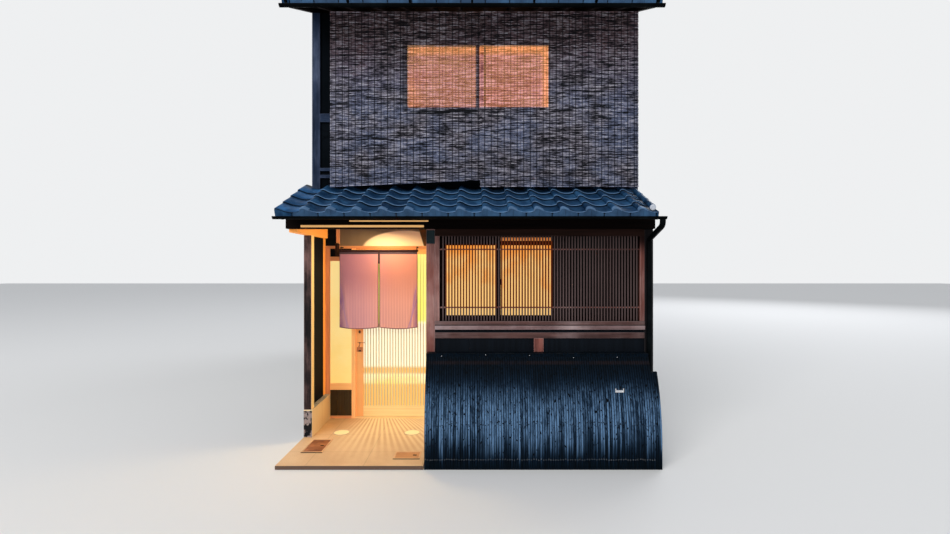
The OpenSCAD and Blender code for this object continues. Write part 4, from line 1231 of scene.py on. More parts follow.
    def build_roll(self) -> None:
        """The round roll of cover tiles on the right verge, with a pale end cap."""
        roll = Shape()
        profile = ((0.0, 0.94), (0.02, 1.06), (0.08, 1.06), (0.10, 1.0), (1.0, 0.96))
        for k in range(3):
            vs = [((k + share) * self.cover_l, r) for share, r in profile]
            path = [(self.at(self.roll_x + 0.03 * v, v, 0.004 - 0.02 * v), self.roll_r * r) for v, r in vs]
            roll.skin(bar(path, 18), Axis.Y)
        put(self.name + "_verge_roll", roll, ROOF_TILE, "roof_tile", smooth=True)
        cap = Shape().skin(bar([(self.at(self.roll_x, v, 0.004), self.roll_r * r)
                                for v, r in ((-0.012, 0.80), (-0.009, 0.98), (0.003, 0.98))], 20))
        put(self.name + "_roll_cap", cap, END_CAP, "mortar")

    def build_timbers(self) -> None:
        """The deck of boards that carries the tiles, and the rafters under it."""
        deck_top, deck_low = -self.crest_h - self.tile_t * 2.4, self.rafter_h - self.thick
        inset, edge = 0.012, 0.04
        tail, end = self.thick * math.tan(self.angle), self.length - 0.002
        side = ((0.02, deck_low), (end, deck_low), (end, deck_top), (0.02, deck_top))
        deck = Shape().skin([[self.at(u, v, w) for v, w in side] for u in (inset, self.width - inset)],
                            tone=0.3)
        put(self.name + "_boards", deck, DARK_WOOD, "dark_wood")
        count, step = spread_even(edge, self.width - edge - self.rafter_w, self.rafter_pitch)
        side = ((0.03 + tail, -self.thick), (self.length, -self.thick), (self.length, deck_low + 0.001),
                (0.03, deck_low + 0.001))
        rafter = Shape().skin([[self.at(u, v, w) for v, w in side] for u in (edge, edge + self.rafter_w)],
                              Axis.Y, 0.1)
        put(self.name + "_rafters", rafter, DARK_WOOD, "dark_wood",
            copies=Copies(count + 1, step=self.way(step, 0.0), seed=self.seed + 17))


@dataclass
class Ridge:
    """The stacked ridge: bedding tiles in layers, round cap tiles and plain shield ends."""

    layers: int = 3
    tile_l: float = 0.262
    step_in: float = 0.008
    joint: float = 0.003
    cap_r: float = 0.072
    end_t: float = 0.045

    def build(self) -> None:
        """Builds the layers, the caps and the ends inside the CAD ridge."""
        low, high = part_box("ridge")
        y, half = (low.y + high.y) / 2, (high.y - low.y) / 2
        x0, x1 = low.x + self.end_t, high.x - self.end_t
        count, length = spread_even(x0, x1, self.tile_l)
        base, cap_z = low.z + 0.005, high.z - self.cap_r
        layer_h = (cap_z - base - 0.075) / self.layers
        core = Shape().block((x0, y - half * 0.72, base), (x1, y + half * 0.72, cap_z - 0.005), Axis.X, 0.004)
        put("ridge_bed", core, DARK_PLASTER, "dark_plaster", "ridge")
        course = Shape()
        for k in range(self.layers):
            z, out = base + 0.06 + k * layer_h, half - k * self.step_in
            for near, far in ((y - out, y - half / 2), (y + half / 2, y + out)):
                course.block((0.0, near, z), (length - self.joint, far, z + layer_h * 0.42), Axis.X, 0.003,
                             0.3 * k)
        put("ridge_layers", course, ROOF_TILE, "roof_tile",
            copies=along_x(count, x0, length, 71, jitter=(0.0, 0.001, 0.0008)))
        rings = [[(x, y - self.cap_r * r * c * 1.15, cap_z + self.cap_r * r * s) for c,
                  s in turns(10, 0.0, math.pi)]
                 for x, r in ((0.0, 0.92), (0.006, 1.0), (0.03, 1.0), (0.034, 0.93), (length - 0.002, 0.90))]
        put("ridge_caps", Shape().skin(rings), ROOF_TILE, "roof_tile", smooth=True,
            copies=along_x(count, x0, length, 73))
        rising = [(0.98, base - 0.004), (0.98, cap_z - 0.03), (0.80, cap_z + 0.015), (0.45, high.z - 0.012)]
        shield = [(y + half * s, z) for s, z in rising] + [(y, high.z - 0.001)]
        shield += [(y - half * s, z) for s, z in reversed(rising)]
        inner = [(y + (a - y) * 0.72, b * 0.86 + (base + 0.03) * 0.14) for a, b in shield]
        ends = Shape()
        for x, way in ((low.x, 1), (high.x, -1)):
            ends.prism(shield, Axis.X, x + way * 0.008, x + way * self.end_t, Axis.Z, 0.6)
            ends.prism(inner, Axis.X, x, x + way * 0.01, Axis.Z, 0.2)
        put("ridge_ends", ends, ROOF_TILE, "roof_tile")


@dataclass
class Gutters:
    """Straps of the gutters, and the bent downpipes with their collars."""

    radius: float = 0.03
    wall: float = 0.004
    strap_w: float = 0.02
    strap_pitch: float = 0.62
    pipe_r: float = 0.03
    collar_h: float = 0.03
    outlet_h: float = 0.09

    def build(self) -> None:
        """Dresses the gutters and adds what holds and drains them."""
        dress({"gutters": DARK_METAL})
        (pent, pent_end), (front, front_end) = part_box("pent_roof"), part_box("roof_front")
        rear, rear_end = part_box("roof_rear")
        low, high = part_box("gutters")
        r, w = self.radius, self.strap_w
        for name, x0, x1, y, z in (("pent", pent.x, pent_end.x + 0.06, pent.y - r, pent.z + 0.055),
                                   ("front", front.x, front_end.x, low.y + r, front.z + 0.01),
                                   ("rear", rear.x, rear_end.x, high.y - r, rear.z + 0.01)):
            arc = turns(9, math.pi, math.pi)
            outline = [(y + min(max((r + 0.003) * c, -r), r), z + (r + 0.003) * s) for c, s in arc]
            outline += [(y + (r - 0.001) * c, z + (r - 0.001) * s) for c, s in reversed(arc)]
            strap = Shape().prism(outline, Axis.X, 0.0, w)
            strap.block((0.0, y - r, z - 0.002), (w, y + r, z + 0.001), Axis.Y, 0.0005)
            count, step = spread_even(x0 + 0.1, x1 - 0.1, self.strap_pitch)
            put(name + "_gutter_straps", strap, DARK_METAL, "dark_metal",
                copies=along_x(count + 1, x0 + 0.09, step, 81))
        pipe_low, pipe_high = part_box("downpipes")
        x = (pipe_low.x + pipe_high.x) / 2
        pipes = Shape()
        self.add_pipe(pipes, (x, pent.y - r, pent.z + 0.055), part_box("bay_posts")[0].y, -1, (1.357, 2.184))
        self.add_pipe(pipes, (x, rear_end.y + r, rear.z + 0.01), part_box("rear_wall")[1].y, 1, (1.357, 2.88))
        put("downpipe_runs", pipes, DARK_METAL, "dark_metal", "downpipes")

    def add_pipe(self, pipes: Shape, head: Point, wall_y: float, way: int, collars: Span) -> None:
        """One downpipe, which bends from its gutter back to its wall.

        Args:
            pipes: The shape that it is added to.
            head: The gutter's middle over the pipe.
            wall_y: The wall that it stands against.
            way: -1 at the front, 1 at the rear.
            collars: The heights of its collars.
        """
        x, gutter_y, gutter_z = head
        y, outlet = wall_y + way * (0.012 + self.pipe_r), gutter_z - self.outlet_h
        bend = outlet - abs(y - gutter_y) * 0.3
        path = elbowed([(x, gutter_y, gutter_z - self.radius), (x, gutter_y, outlet), (x, y, bend),
                        (x, y, 0.0)], 0.045)
        pipes.skin(bar([(q, self.pipe_r) for q in path], 20), Axis.Z)
        for z in collars:
            inner, outer, top = self.pipe_r, self.pipe_r + self.wall, z + self.collar_h
            pipes.skin([[(x + r * c, y + r * s, h) for c, s in turns(20)]
                        for h, r in ((z, inner), (z, outer), (top, outer), (top, inner))], Axis.Z)
            near, far = sorted((wall_y, y))
            pipes.block((x - 0.01, near, z + 0.005), (x + 0.01, far, top - 0.005), Axis.Y, 0.001)


@dataclass
class Blind:
    """A hanging reed blind: wavy slats held by strings, with a pole at its head and its foot."""

    node: str
    name: str
    seed: int
    slant: float = 0.0
    reed_pitch: float = 0.0056
    reed_r: float = 0.0024
    segments: int = 16
    string_pitch: float = 0.0755
    string_r: float = 0.0016
    knots: int = 6

    def build(self) -> None:
        """Builds the slats, the strings and the poles."""
        low, high = self.low, self.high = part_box(self.node)
        y, pole_r, width = (low.y + high.y) / 2, (high.y - low.y) / 2, high.x - low.x
        z0, z1 = low.z + 2 * pole_r, high.z - 2 * pole_r
        rows, pitch = spread_even(z0, z1, self.reed_pitch)
        xs = [low.x + width * i / self.segments for i in range(self.segments + 1)]
        reed = Shape().skin(bar([((x, y, z0), self.reed_r) for x in xs], 5))
        slats = Copies(1, (0.0, 0.0, pitch / 2), rows=rows, rise=(0.0, 0.0, pitch),
                       jitter=(0.004, 0.0004, 0.0006),
                       waver=(0.0, 0.003, 0.020), waver_scale=(2.0, 1.0, 21.0), seed=self.seed)
        self.hang("_slats", reed, REED, self.node, copies=slats)
        count, step = spread_even(low.x + 0.02, high.x - 0.02, self.string_pitch)
        levels = [z0 - pole_r + (z1 - z0 + 2 * pole_r) * i / 40 for i in range(41)]
        string = Shape()
        for way in (-1, 1):
            side = y + way * (self.reed_r + self.string_r * 0.6)
            string.skin(bar([((0.0, side, z), self.string_r) for z in levels], 4), Axis.Z)
        self.hang("_strings", string, STRING,
                  copies=along_x(count + 1, low.x + 0.02, step, self.seed + 1, jitter=(0.003, 0.0, 0.0),
                                 waver=(0.008, 0.0, 0.0), waver_scale=(3.0, 1.0, 4.0)))
        poles = Shape()
        knot = ((0.0, 0.93), (0.02, 1.0), (0.035, 0.9), (0.5, 0.9), (0.97, 0.9))
        for z in (low.z + pole_r, high.z - pole_r):
            places = [((low.x + (k + share) * width / self.knots, y, z), pole_r * r)
                      for k in range(self.knots) for share, r in knot]
            poles.skin(bar(places + [((high.x, y, z), pole_r * 0.9)], 10))
        self.hang("_poles", poles, REED)

    def hang(self, part: str, shape: Shape, finish: Finish, *replaces: str,
             copies: Copies | None = None) -> None:
        """Puts in a part of the blind, with its foot lifted to the right where the blind hangs askew.

        Args:
            part: The end of the piece's name.
            shape: The part, or the element that is copied.
            finish: Its finish.
            replaces: The CAD nodes that it stands for.
            copies: Where the copies go.
        """
        name, low, high = self.name + part, self.low, self.high
        mesh = shape.mesh(name)
        mesh = outward(copies.lay(mesh, finish) if copies else mesh)
        for vertex in mesh.vertices:
            down = 1.0 - (vertex.co.z - low.z) / (high.z - low.z)
            share = (vertex.co.x - low.x) / (high.x - low.x)
            vertex.co.z += self.slant * share * max(0.0, down) ** 1.6
            vertex.co = [min(max(vertex.co[i], low[i]), high[i]) for i in range(3)]
        put(name, mesh, finish, "reed", *replaces, smooth=finish is REED)


@dataclass
class UpperFront:
    """The upper wall's timbers, window and dark plaster."""

    post_w: float = 0.096
    eave_slope: float = 0.42
    rail_h: float = 0.036
    rail_gap: float = 0.084
    mid_h: float = 0.10
    stile: float = 0.044

    def build(self) -> None:
        """Builds the timbers and the windows' sashes."""
        low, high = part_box("upper_timbers")
        wall_low, wall_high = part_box("front_wall")
        floor_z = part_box("upper_floor")[1].z
        timber = Shape().block((low.x, low.y, low.z), (high.x, high.y, floor_z), Axis.X, 0.004, 0.1)
        for k, x in enumerate((-high.x, high.x - self.post_w)):
            post = Shape().block((x, low.y, floor_z + 0.0005), (x + self.post_w, high.y, high.z), Axis.Z,
                                 0.004)
            # The top of a post follows the roof
            points = [(a, b, c - (self.eave_slope * (high.y - b) if 2 * c > floor_z + high.z else 0.0))
                      for a, b, c in post.points]
            timber.add(points, post.faces, Axis.Z, 0.4 + k, ARRISES)
        base = floor_z + 0.31
        for k, (z, h) in enumerate(((base, self.rail_h), (base + self.rail_gap, self.rail_h),
                                    (floor_z + 0.99, self.mid_h))):
            timber.block((wall_low.x, low.y, z), (wall_high.x, wall_low.y, z + h), Axis.X, 0.003,
                         0.7 + 0.17 * k)
        put("upper_frame", timber, GREY_WOOD, "grey_wood", "upper_timbers")
        self.build_windows()
        dress({"front_wall": DARK_PLASTER, "window_glass": UPPER_PANE})

    def build_windows(self) -> None:
        """The sashes of the upper and rear windows, each its own stiles and rails."""
        points, s = spots("window_frames"), self.stile
        sashes = Shape()
        for k, group in enumerate(([q for q in points if q.y < 1.0],
                                   [q for q in points if q.y > 1.0 and q.z < 3.0],
                                   [q for q in points if q.y > 1.0 and q.z > 3.0])):
            (x0, y0, z0), (x1, y1, z1) = extent(group)
            middle = (x0 + x1) / 2
            for j, x in enumerate((x0, middle - s / 2, x1 - s)):
                sashes.block((x, y0, z0), (x + s, y1, z1), Axis.Z, 0.003, 0.2 * j + k)
            for j, z in enumerate((z0, z1 - s)):
                for a, b in ((x0 + s, middle - s / 2), (middle + s / 2, x1 - s)):
                    sashes.block((a, y0 + 0.002, z), (b, y1 - 0.002, z + s), Axis.X, 0.003, 0.5 + 0.2 * j + k)
        put("window_sashes", sashes, WINDOW_WOOD, "window_wood", "window_frames")


@dataclass
class DoorRow:
    """The frame round the door and the side light, with its transom and dark boards."""

    lintel_h: float = 0.037
    strut_w: float = 0.048
    slim_w: float = 0.052
    end_w: float = 0.052
    low_rail_h: float = 0.09
    head_h: float = 0.059
    foot_h: float = 0.033
    board_t: float = 0.018
    groove_h: float = 0.019

    def build(self) -> None:
        """Builds each member as its own timber."""
        (left, y0, foot), (right, y1, top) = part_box("door_frame")
        pane, pane_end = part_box("side_light_glass")
        panel, panel_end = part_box("transom_panel")
        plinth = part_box("porch_posts")[0].z
        door_x, strut_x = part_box("entry_door")[0].x - 0.005, panel.x - self.strut_w
        under = panel.z - self.lintel_h
        groove_z, front = under + self.groove_h, panel.y
        rail_z = pane.z - self.low_rail_h
        row = Shape()
        for low, high, axis, chamfer, tone in (
                ((left, y0, groove_z), (right, y1, panel.z), Axis.X, 0.002, 0.15),
                ((door_x, y0, under), (right, front, groove_z), Axis.X, 0.001, 0.15),
                ((door_x, panel_end.y + 0.01, under), (right, y1, groove_z), Axis.X, 0.001, 0.15),
                ((left, y0, under), (door_x, y1, groove_z), Axis.X, 0.001, 0.15),
                ((right - self.end_w, y0, foot), (right, y1, under), Axis.Z, 0.002, 0.6),
                ((strut_x, y0, panel.z), (panel.x, y1, panel_end.z), Axis.Z, 0.002, 0.3),
                ((left, y0, panel_end.z), (panel_end.x, y1, top), Axis.X, 0.002, 0.8)):
            row.block(low, high, axis, chamfer, tone)
        put("door_row_frame", row, WARM_WOOD, "warm_wood", "door_frame")
        side = Shape().block((left, y0, plinth), (pane.x, y1, under), Axis.Z, 0.002, 0.25)
        side.block((pane.x, y0, foot), (pane_end.x, y1, foot + self.foot_h), Axis.X, 0.002, 0.1)
        side.block((pane.x, y0, pane_end.z), (pane_end.x, y1, pane_end.z + self.head_h), Axis.X, 0.002, 0.9)
        put("side_light_timbers", side, WARM_WOOD, "warm_wood", "side_light_frame")
        # Painted light: the side light's rail and slim stile in a brighter glowing copy of the lamplit wood
        pale = Shape().block((pane.x, y0, rail_z), (pane_end.x, y1, pane.z), Axis.X, 0.002, 0.55)
        pale.block((pane_end.x, y0, foot), (pane_end.x + self.slim_w, y1, under), Axis.Z, 0.002, 0.45)
        put("side_light_pale_timbers", pale, FRAME_WOOD, "warm_wood")
        back = front + self.board_t
        boards = Shape().block((left, front, panel.z), (strut_x, back, panel_end.z), Axis.X, 0.001, 0.2)
        boards.block((pane.x, front, pane_end.z + self.head_h), (pane_end.x, back, under), Axis.X, 0.001, 0.5)
        foot_boards = Shape()
        third = (pane_end.x - pane.x) / 3
        for k in range(3):
            x = pane.x + k * third
            foot_boards.block((x, front, foot + self.foot_h), (x + third - 0.001, back, rail_z),
                              Axis.Z, 0.001, 0.7 + 0.1 * k)
        put("side_light_foot_boards", foot_boards, OLIVE_BOARD, "dark_board")
        post, post_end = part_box("porch_posts")
        start, x = 0.096, post.x + self.board_t
        count, step = spread_even(start, post_end.y - 0.166, 0.196)
        for k in range(count):
            y = start + k * step
            boards.block((x, y, plinth), (x + self.board_t, y + step - 0.002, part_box("side_beam")[0].z),
                         Axis.Z, 0.002, 0.3 * k)
        put("door_row_boards", boards, DARK_BOARD, "dark_board", "dark_boards")
        dress({"transom_panel": TRANSOM, "side_light_glass": SIDE_PANE, "door_sill": SILL_METAL})


@dataclass
class EntryDoor:
    """The sliding leaf: stiles, rails, kick board, upright bars, frosted pane, pull and lock."""

    bar_w: float = 0.013
    bar_pitch: float = 0.038
    wheel_r: float = 0.015
    rail_h: float = 0.03

    def build(self) -> None:
        """Builds the leaf round its pane."""
        (left, y0, foot), (right, y1, top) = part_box("entry_door")
        (x0, pane_y, low), (x1, _, high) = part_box("entry_door_glass")
        middle, base, rail = (y0 + y1) / 2, foot + self.wheel_r / 3, low - self.rail_h
        kick = Shape().block((x0, y0 + 0.002, base), (x1, y1 - 0.002, rail), Axis.X, 0.001, 0.35)
        kick.block((x0, y0, rail), (x1, y1, low), Axis.X, 0.002, 0.9)
        put("door_kick_board", kick, LAMPLIT_CYPRESS, "door_wood", body=Body.DOOR)
        leaf = Shape().block((left, y0, base), (x0, y1, top), Axis.Z, 0.002, 0.2)
        leaf.block((x1, y0, base), (right, y1, top), Axis.Z, 0.002, 0.5)
        leaf.block((x0, y0, high), (x1, y1, top), Axis.X, 0.002, 0.7)
        for x in (x0, x1):
            wheel = [(foot + self.wheel_r * (1 + s), x + self.wheel_r * c) for c, s in turns(20)]
            leaf.prism(wheel, Axis.Y, middle - 0.005, middle + 0.005)
        put("door_leaf", leaf, DOOR_WOOD, "door_wood", "entry_door", body=Body.DOOR)
        count = math.floor((x1 - x0) / self.bar_pitch)
        first = (x0 + x1) / 2 - (count - 1) * self.bar_pitch / 2
        slat = Shape().block((-self.bar_w / 2, y0, low), (self.bar_w / 2, pane_y - 0.0005, high), Axis.Z,
                             0.0015)
        put("door_bars", slat, BAR_CYPRESS, "door_wood", body=Body.DOOR,
            copies=along_x(count, first, self.bar_pitch, 91))
        dress({"entry_door_glass": DOOR_PANE})
        self.build_pull()

    def build_pull(self) -> None:
        """The round lock with its key slot, the flat lever and the plate that hangs under it."""
        (x0, y, foot), (x1, back, head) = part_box("entry_door_pull")
        heights = [corner.z for corner in spots("entry_door_pull")]
        lock = [z for z in heights if 2 * z > foot + head]
        lock_z, top = (min(lock) + max(lock)) / 2, max(z for z in heights if z < min(lock))
        x, half, ring = (x0 + x1) / 2, (x1 - x0) / 2, turns(24)
        brass = Shape().prism([(lock_z + half * 1.5 * s, x + half * c) for c, s in ring], Axis.Y, y + 0.001,
                              back)
        brass.block((x - 0.030, y + 0.0012, top - 0.016), (x + 0.068, back, top - 0.006))
        lever = [(top - 0.024, x - 0.002), (top - 0.024, x + 0.010), (top - 0.072, x - 0.004),
                 (top - 0.072, x - 0.022)]
        brass.prism(lever, Axis.Y, y + 0.0008, back)
        brass.block((x - 0.040, y + 0.0004, foot), (x + 0.040, back, top - 0.072), Axis.X, 0.001)
        put("door_pull", brass, BROWN_METAL, "black_metal", "entry_door_pull", body=Body.DOOR)
        iron = Shape().block((x - 0.011, y, lock_z - 0.014), (x + 0.011, y + 0.0015, lock_z + 0.010), Axis.Z)
        iron.prism([(top - 0.012 + 0.010 * s, x + 0.010 * c) for c, s in ring], Axis.Y, y, y + 0.0012)
        iron.block((x - 0.018, y, foot), (x + 0.018, y + 0.0004, foot + 0.022))
        put("door_lock_slots", iron, BLACK_METAL, "black_metal", body=Body.DOOR)


@dataclass
class Noren:
    """The split door curtain: two panels with hems and soft folds, in pockets round the rod."""

    columns: int = 64
    rows: int = 96
    cut: Span = (0.518, 1.046)
    drop: float = 0.020
    gap: float = 0.006
    overhang: float = 0.012
    rod_r: float = 0.012
    arm: float = 0.014

    def build(self) -> None:
        """Builds the rod, the panels and the pockets."""
        low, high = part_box("noren")
        (left, y, _), (right, back, top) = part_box("noren_rod")
        middle, plane, join = (low.x + high.x) / 2, (low.y + high.y) / 2, self.gap + 0.004
        tie = Shape().block((middle - join, plane - 0.001, high.z - 0.16),
                            (middle + join, plane + 0.001, high.z),
                            Axis.Z, 0.0004)
        put("noren_join", tie, LOOP_CLOTH, "noren_cloth")
        spans = ((low.x - self.overhang, middle - self.gap), (middle + self.gap, high.x))
        for name, span, side in zip(("noren_left", "noren_right"), spans, (-1, 1)):
            mesh = self.panel(name, span, (low.z - self.drop, high.z), plane, side)
            cloth = put(name, mesh, NOREN_CLOTH, "noren_cloth", "noren", smooth=True)
            thick = cloth.modifiers.new("cloth", "SOLIDIFY")
            thick.thickness = 0.0012
            thick.offset = 0.0
        r, half = self.rod_r, self.arm / 2
        y, z = y + r, high.z + r + 0.0003
        shares = ((left, 0.8), (left + 0.004, 1.0), (left + 0.34, 0.96), (left + 0.70, 0.99),
                  (right - 0.004, 1.0),
                  (right, 0.8))
        rod = Shape().skin(bar([((x, y, z), r * share) for x, share in shares], 16))
        for x in (left + 0.02, right - 0.02):
            rod.block((x - half, y, top - self.arm), (x + half, back, top), Axis.Y, 0.001)
            rod.block((x - half, y - half, z), (x + half, y + half, top - 0.001), Axis.Z, 0.001)
        rod.block((-1.882, y + 0.012, z - 0.06), (-1.850, back, z + 0.105), Axis.Z, 0.002, 0.4)
        put("noren_rod_and_arms", rod, ROD_WOOD, "dark_wood", "noren_rod")
        pocket, sleeve = Shape(), r + 0.0022
        for span in spans:
            pocket.prism([(y + sleeve * s, z + sleeve * c) for c, s in turns(16)], Axis.X, *span)
        put("noren_pockets", pocket, LOOP_CLOTH, "noren_cloth")

    def panel(self, name: str, span: Span, heights: Span, plane: float, side: int) -> bpy.types.Mesh:
        """One panel, with folds that grow towards its foot and a crease at its outer edge.

        Args:
            name: The mesh's name.
            span: Its left and right edge.
            heights: Its foot and its head.
            plane: The plane that it hangs in.
            side: -1 where the outer edge is on the left, 1 on the right.

        Returns:
            The mesh, with the flat cloth as its UV map in metres.
        """
        (x0, x1), (foot, head) = span, heights
        points, uvs, outer, faces, edge = [], [], [], [], []
        for j in range(self.rows + 1):
            v = j / self.rows
            for i in range(self.columns + 1):
                u = i / self.columns
                out = u if side > 0 else 1 - u
                fold = 0.006 * math.sin(math.tau * (1.6 * u + 0.12 * v) + side) * v ** 1.3
                fold += 0.0025 * math.sin(math.tau * (4.3 * u - 0.3 * v) + 2 * side) * v ** 1.3
                crease = math.exp(-((out - (1.02 - 0.28 * v)) / 0.045) ** 2)
                fold += 0.010 * crease * max(0.0, v - 0.25)
                pull = 0.0072 * v * (1 - v) * (2 * u - 1)
                sag = 0.024 * math.sin(math.pi * u) ** 0.8 * v ** 3
                points.append((x0 + u * (x1 - x0) - pull, plane - fold,
                               head - (head - foot - 0.026) * v - sag))
                uvs.append((u * self.cut[0], v * self.cut[1]))
                outer.append(u if side < 0 else 1 - u)
        n = self.columns + 1
        for j in range(self.rows):
            for i in range(self.columns):
                faces.append((j * n + i, (j + 1) * n + i, (j + 1) * n + i + 1, j * n + i + 1))
                seam = i < 1 if side > 0 else i > self.columns - 2
                rim = 0.75 if j == self.rows - 1 else 0.35 if i in (0, self.columns - 1) else 0.0
                # Marks for painted shade: the top rows under the rod, the slit's seam and the hems
                edge.append(1.0 if j < 3 else 0.85 if seam else rim)
        mesh = bpy.data.meshes.new(name)
        mesh.from_pydata(points, [], faces)
        mesh.attributes.new("edge", "FLOAT", "FACE").data.foreach_set("value", edge)
        mesh.attributes.new("outer", "FLOAT", "POINT").data.foreach_set("value", outer)
        layer = mesh.uv_layers.new(name="cloth")
        for loop in mesh.loops:
            layer.data[loop.index].uv = uvs[loop.vertex_index]
        return mesh


@dataclass
class Porch:
    """The porch's posts, beam, ceiling, floor, lamps, floor plates and plinth."""

    post_w: float = 0.096
    inner_t: float = 0.034
    skin: float = 0.004
    ceiling_board: float = 0.19
    batten: float = 0.022
    batten_pitch: float = 0.32
    rim_w: float = 0.018
    rim_h: float = 0.006

    def build(self) -> None:
        """Builds the porch."""
        low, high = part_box("porch_posts")
        beam_low, beam_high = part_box("side_beam")
        right, top, skin = low.x + self.post_w, beam_low.z, self.skin
        side_x, base, step = beam_high.x + skin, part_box("porch_floor")[1].z, low.z - 0.012
        worn = Shape().block(low, (right - skin, self.post_w, top), Axis.Z, 0.005, 0.3)
        put("outer_post", worn, POST_WOOD, "dark_wood", "porch_posts")
        # Painted light: a thin skin of lamplit wood on the post's inner side, bright while the post's front
        # stays dark
        lit_side = Shape().block((right - skin, low.y, low.z), (right, self.post_w, top), Axis.Z, 0.001, 0.3)
        put("outer_post_side", lit_side, LAMPLIT_CYPRESS, "warm_wood")
        inner = Shape().block((low.x, high.y - 0.166, low.z), (low.x + self.inner_t, high.y, high.z), Axis.Z,
                              0.003, 0.6)
        put("inner_post", inner, BEAM_WOOD, "warm_wood")
        coat = Shape().block((low.x, low.y - 0.003, base), (side_x, low.y, step), Axis.Z, 0.001)
        put("plinth_front", coat, PEELING, "mortar")
        coat = Shape().block((side_x, low.y - 0.003, base), (side_x + skin, high.y - 0.07, low.z), Axis.Z,
                             0.001)
        put("plinth_side", coat.block((low.x, low.y - 0.006, step), (side_x, low.y, low.z), Axis.X, 0.001),
            SIDE_CREAM, "mortar")
        put("porch_beam", Shape().block(beam_low, beam_high, Axis.Y, 0.005, 0.2), BEAM_WOOD, "warm_wood",
            "side_beam")
        self.build_ceiling(beam_high.x)
        self.build_floor()
        dress({"porch_side_wall": CREAM, "porch_floor": PORCH_PAVING, "foundation": MORTAR})

    def build_ceiling(self, inner: float) -> None:
        """Boards along the house, with battens across under them from the beam's inner side."""
        low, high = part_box("porch_ceiling")
        count, step = spread_even(low.x, high.x, self.ceiling_board)
        board = Shape().block((0.0, low.y, low.z), (step - 0.0015, high.y, high.z), Axis.Y, 0.001)
        put("ceiling_boards", board, CEILING_WOOD, "dark_wood", "porch_ceiling",
            copies=along_x(count, low.x, step, 101))
        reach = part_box("porch_side_wall")[0].x
        batten = Shape().block((inner, 0.0, low.z - self.batten), (reach, self.batten, low.z))
        count, step = spread_even(0.0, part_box("door_frame")[0].y - low.y, self.batten_pitch)
        put("ceiling_battens", batten, WARM_WOOD, "warm_wood",
            copies=Copies(1, (0.0, low.y + step, 0.0), rows=count - 1, rise=(0.0, step, 0.0), seed=103))

    def build_floor(self) -> None:
        """The paved floor's lamps and its two cover plates."""
        low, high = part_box("floor_lamps")
        r, y, ring = (high.y - low.y) / 2, (low.y + high.y) / 2, turns(40)
        glass = ((0.925, low.z), (0.925, high.z - 0.0012), (0.6, high.z - 0.0006), (0.2, high.z - 0.0004))
        rim = ((1.0, low.z), (1.0, high.z - 0.001), (0.985, high.z), (0.93, high.z), (0.93, high.z - 0.0015))
        for name, rings, finish, slot, replaces in (("rims", rim, STEEL_RAIL, "steel_rail", ["floor_lamps"]),
                                                    ("glass", glass, LAMP_GLASS, "lamp_glass", [])):
            disc = Shape()
            for x in (low.x + r, high.x - r):
                disc.skin([[(x + r * share * c, y + r * share * s, z) for c, s in ring]
                           for share, z in rings])
            put("floor_lamp_" + name, disc, finish, slot, *replaces)
        z, w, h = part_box("porch_floor")[1].z, self.rim_w, self.rim_h
        rims, slots = Shape(), Shape()
        for name, finish, x0, x1, y0, y1 in (("floor_plate_left", RUST_PLATE, -1.94, -1.70, -0.52, -0.09),
                                             ("floor_plate_right", BRONZE_PLATE,
                                              -0.885, -0.595, -0.71, -0.50)):
            for a, b in ((y0, y0 + w), (y1 - w, y1)):
                rims.block((x0, a, z), (x1, b, z + h), Axis.X, 0.0015)
            for a, b in ((x0, x0 + w), (x1 - w, x1)):
                rims.block((a, y0 + w, z), (b, y1 - w, z + h), Axis.Y, 0.0015)
            put(name, Shape().block((x0 + w, y0 + w, z), (x1 - w, y1 - w, z + 0.003), Axis.Y, 0.001), finish,
                "steel_rail")
            middle = (y0 + y1) / 2
            slots.block((x1 - 0.085, middle - 0.012, z + 0.003), (x1 - 0.045, middle + 0.012, z + 0.0055),
                        Axis.X, 0.001)
            slots.block((x0, y0 - 0.012, z), (x1, y0, z + 0.005), Axis.X, 0.001)
        put("floor_plate_rims", rims, PLATE_RIM, "steel_rail")
        put("floor_plate_slots", slots, DARK_NAIL, "black_metal")


